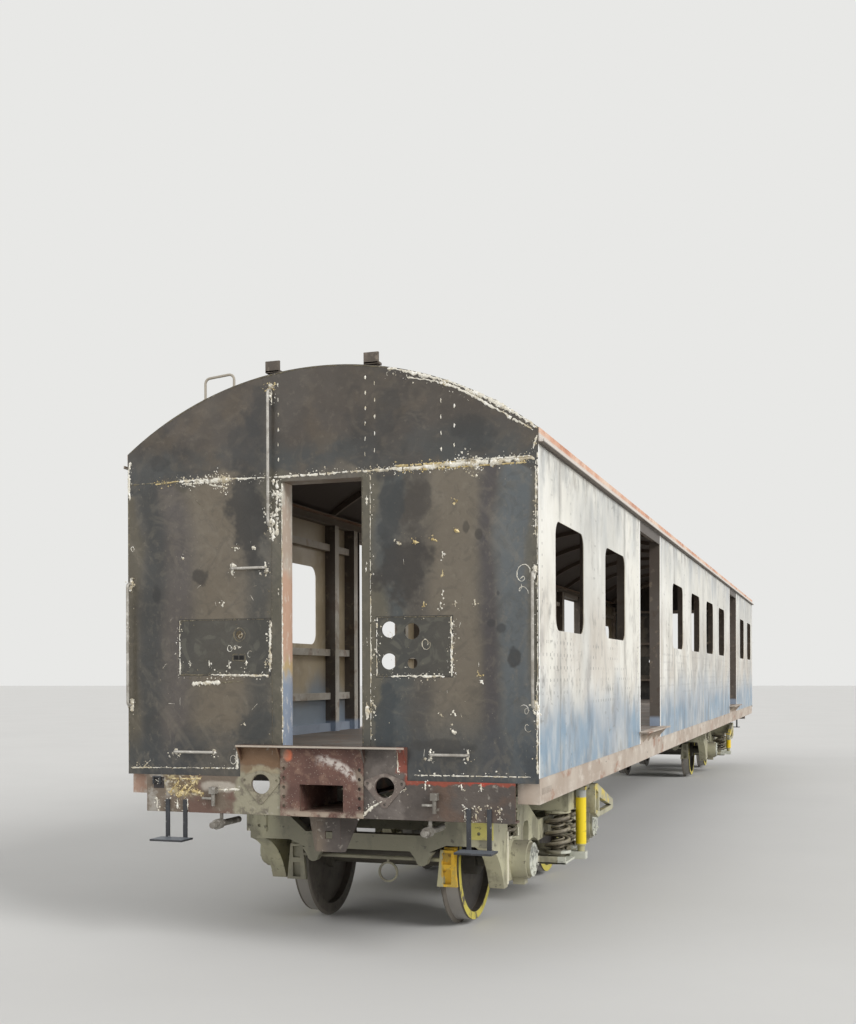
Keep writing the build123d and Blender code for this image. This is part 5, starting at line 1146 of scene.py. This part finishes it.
def roof_irons():
    """Folded lugs and round handles with bent corners at the ends of the roof."""
    LUG_X, LUG_HALF, LUG_DEEP, LUG_HEIGHT, LUG_PLATE = 0.34, 0.05, 0.064, 0.075, 0.016
    HANDLE_OUT, HANDLE_IN, HANDLE_BACK, HANDLE_RISE = -0.84, -0.63, 0.032, 0.09
    HANDLE_RADIUS, HANDLE_BEND = 0.0085, 0.035
    COLLAR = ((0.020, -0.008), (0.016, 0.004), (0.009, 0.008))
    irons = Shape()
    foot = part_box("roof_fittings")[1].z - LUG_HEIGHT
    for side in (-1, 1):
        x = (side * LUG_X - LUG_HALF, side * LUG_X + LUG_HALF)
        irons.block(x, (END_FACE, END_FACE + LUG_DEEP), (foot, foot + LUG_PLATE), 0.003)
        irons.block(x, (END_FACE, END_FACE + LUG_PLATE), (foot, foot + LUG_HEIGHT), 0.004)
    y = END_FACE + HANDLE_BACK
    low, high = RAIL + arch_height(0.83), RAIL + arch_height(0.62)
    top = high + HANDLE_RISE
    irons.tube(rounded([(HANDLE_OUT, y, low - 0.004), (HANDLE_OUT, y, top - 0.02), (HANDLE_IN, y, top),
                        (HANDLE_IN, y, high - 0.004)], HANDLE_BEND), HANDLE_RADIUS)
    for x, level in ((HANDLE_OUT, low), (HANDLE_IN, high)):
        irons.lathe(COLLAR, (x, y, level), (0, 0, 1), 12)
    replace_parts(irons.at_ends("roof_irons", ROOF_IRON, "roof_steel"), "roof_fittings")


def springs(end):
    """Helical springs with their plates on the spring plank of one bogie."""
    PLANK_REACH, PLANK_HALF, PLANK_HEIGHT = 1.11, 0.37, 0.06
    WEB, WEB_INNER = 0.02, 0.35
    EAR_INNER, EAR_OUTER, EAR_HALF = 1.07, 1.2, 0.045
    HANGER_X, HANGER_Y, HANGER_WIDE, HANGER_DEEP = 0.70, 0.345, 0.03, 0.015
    COIL_X, COIL_Y, BOX_COIL_X = 1.0, 0.15, 0.835
    # radius of the spring and of its wire, turns and sides, for the outer and the inner spring
    BOLSTER_COILS = ((0.086, 0.017, 3.5, 12), (0.046, 0.010, 6, 6))
    BOX_COILS = ((0.071, 0.013, 3.5, 8), (0.036, 0.008, 6, 6))
    # radius and height of turned pieces
    CUP = ((0.098, 0), (0.104, 0.006), (0.104, 0.018), (0.098, 0.024))
    SEAT = ((0.090, 0), (0.090, 0.016))
    PIN = ((0.022, 0), (0.022, 0.05))
    plank_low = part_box(f"bogie_springs_{end}")[0].z
    plank_top = plank_low + PLANK_HEIGHT
    frame_under = RAIL + 0.53
    bolster_seat, bolster_foot = RAIL + 0.676, RAIL + 0.681
    box_seats, box_low, box_high = (RAIL + 0.60, RAIL + 0.784), RAIL + 0.612, RAIL + 0.788
    coils, carried = Shape(), Shape()
    centre = -BOGIE_CENTRE
    reach = (-PLANK_REACH, PLANK_REACH)
    carried.block(reach, (centre - PLANK_HALF, centre + PLANK_HALF), (plank_low, plank_low + WEB))
    for side in (-1, 1):
        carried.block(reach, (centre + side * PLANK_HALF, centre + side * WEB_INNER),
                      (plank_low, plank_top))
        carried.block((side * EAR_INNER, side * EAR_OUTER), (centre - EAR_HALF, centre + EAR_HALF),
                      (plank_low, plank_top))
        for y in (-HANGER_Y, HANGER_Y):
            x = side * HANGER_X
            carried.block((x - HANGER_WIDE, x + HANGER_WIDE),
                          (centre + y - HANGER_DEEP, centre + y + HANGER_DEEP),
                          (plank_top - 0.02, frame_under))
            for level in (plank_top + 0.02, frame_under - 0.04):
                carried.lathe(PIN, (x - 0.025, centre + y, level), (1, 0, 0), 16)
        for y in (-COIL_Y, COIL_Y):
            place = (side * COIL_X, centre + y)
            for level in (plank_top, bolster_seat):
                carried.lathe(CUP, (*place, level), (0, 0, 1), 36)
            for spring in BOLSTER_COILS:
                coils.coil(place, plank_top + 0.019, bolster_foot, *spring)
        for y in (-HALF_BASE, HALF_BASE):
            place = (side * BOX_COIL_X, centre + y)
            for level in box_seats:
                carried.lathe(SEAT, (*place, level), (0, 0, 1), 32)
            for spring in BOX_COILS:
                coils.coil(place, box_low, box_high, *spring)
    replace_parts(carried.on_bogie(end, "spring_plank", BOGIE, "bogie_paint"), f"bogie_springs_{end}")
    coils.on_bogie(end, "spring_coils", COIL, "coil_steel")


def axlebox_bolts(end):
    """Cap bolts and a boss on the axleboxes of one bogie."""
    COVER, BOLT_CIRCLE, BOLT_SIZE, BOLT_HEIGHT = 1.047, 0.095, 0.022, 0.015
    BOSS = ((0.055, 0), (0.052, 0.008), (0.02, 0.010))
    bolts = Shape()
    for side in (-1, 1):
        cover, axis = side * COVER, (side, 0, 0)
        for y in (-BOGIE_CENTRE - HALF_BASE, -BOGIE_CENTRE + HALF_BASE):
            for k in range(6):
                angle = math.pi / 6 + k * math.pi / 3
                bolts.bolt((cover, y + BOLT_CIRCLE * math.cos(angle),
                            AXLE_LEVEL + BOLT_CIRCLE * math.sin(angle)), axis, BOLT_SIZE, BOLT_HEIGHT)
            bolts.lathe(BOSS, (cover, y, AXLE_LEVEL), axis)
    bolts.on_bogie(end, "axlebox_bolts", BOGIE, "bogie_paint")


def studio():
    """A pale floor, soft lights and the camera at the photograph's view."""
    ground = Finish("studio_floor", 0xd6d5d2, 0.9).paint((0xd0cfcc, 0.5, (0.4, 0.3, 0.7))).done()
    HALF_FLOOR = 180.0
    corners = [(u * HALF_FLOOR, v * HALF_FLOOR, 0) for u, v in ((-1, -1), (1, -1), (1, 1), (-1, 1))]
    mesh = bpy.data.meshes.new("studio_floor")
    mesh.from_pydata(corners, [], [(0, 1, 2, 3)])
    mesh.materials.append(ground)
    put("studio_floor", mesh)
    LIGHTS = [
        # name, energy, softness in degrees, direction the light comes from
        ("key", 2.15, 26, (0.88, -0.38, 0.52)),
        ("fill", 0.8, 60, (-0.55, -0.75, 0.40)),
    ]
    for name, energy, softness, source in LIGHTS:
        lamp = bpy.data.lights.new(name, "SUN")
        lamp.energy = energy
        lamp.angle = math.radians(softness)
        made = put(name, lamp)
        made.rotation_mode = "QUATERNION"
        made.rotation_quaternion = Vector(source).to_track_quat("Z", "Y")
    # A dim strip under the roof, for the rooms behind the openings
    strip = bpy.data.lights.new("cabin", "AREA")
    strip.shape = "RECTANGLE"
    strip.size, strip.size_y = 1.4, 16.0
    strip.energy = 75.0
    made = put("cabin", strip)
    made.location = (0, 0, RAIL + 3.20)
    made.visible_camera = False

    # A soft world that is seen as an even pale backdrop
    scene = bpy.context.scene
    scene.world = bpy.data.worlds.new("studio")
    scene.world.use_nodes = True
    world = Nodes(scene.world.node_tree)
    world.nodes.clear()
    soft = world.node("Background", {"Color": (1, 1, 1, 1), "Strength": 0.55})[0]
    seen = world.node("Background", {"Color": linear(0xe8e8e6), "Strength": 1})[0]
    rays = world.node("LightPath", {})
    direct = world.math("MAXIMUM", rays["Is Camera Ray"], rays["Is Glossy Ray"])
    direct = world.math("MAXIMUM", direct, rays["Is Transmission Ray"])
    sky = world.node("MixShader", {0: direct, 1: soft, 2: seen})[0]
    world.node("OutputWorld", {"Surface": sky})

    # The camera as solved from the photograph, with an upright shift
    FOCAL_PIXELS = 1233.93
    IMAGE_HEIGHT = 1024
    HORIZON_ROW = 675.1
    ROLL, TURN = 0.003, 0.324
    camera = bpy.data.cameras.new("camera")
    camera.sensor_width = 36.0
    camera.lens = FOCAL_PIXELS / IMAGE_HEIGHT * camera.sensor_width
    camera.shift_y = (HORIZON_ROW - IMAGE_HEIGHT / 2) / IMAGE_HEIGHT
    camera.clip_end = 400.0
    view = put("camera", camera)
    view.location = (3.134, -16.433, RAIL + 1.765)
    view.rotation_euler = (math.pi / 2, ROLL, TURN)
    scene.camera = view
    scene.view_settings.view_transform = "Standard"


end_welds()
headstock_welds()
end_scribbles()
end_ticks()
grab_irons()
roof_irons()
for end in ("near", "far"):
    springs(end)
    axlebox_bolts(end)
studio()
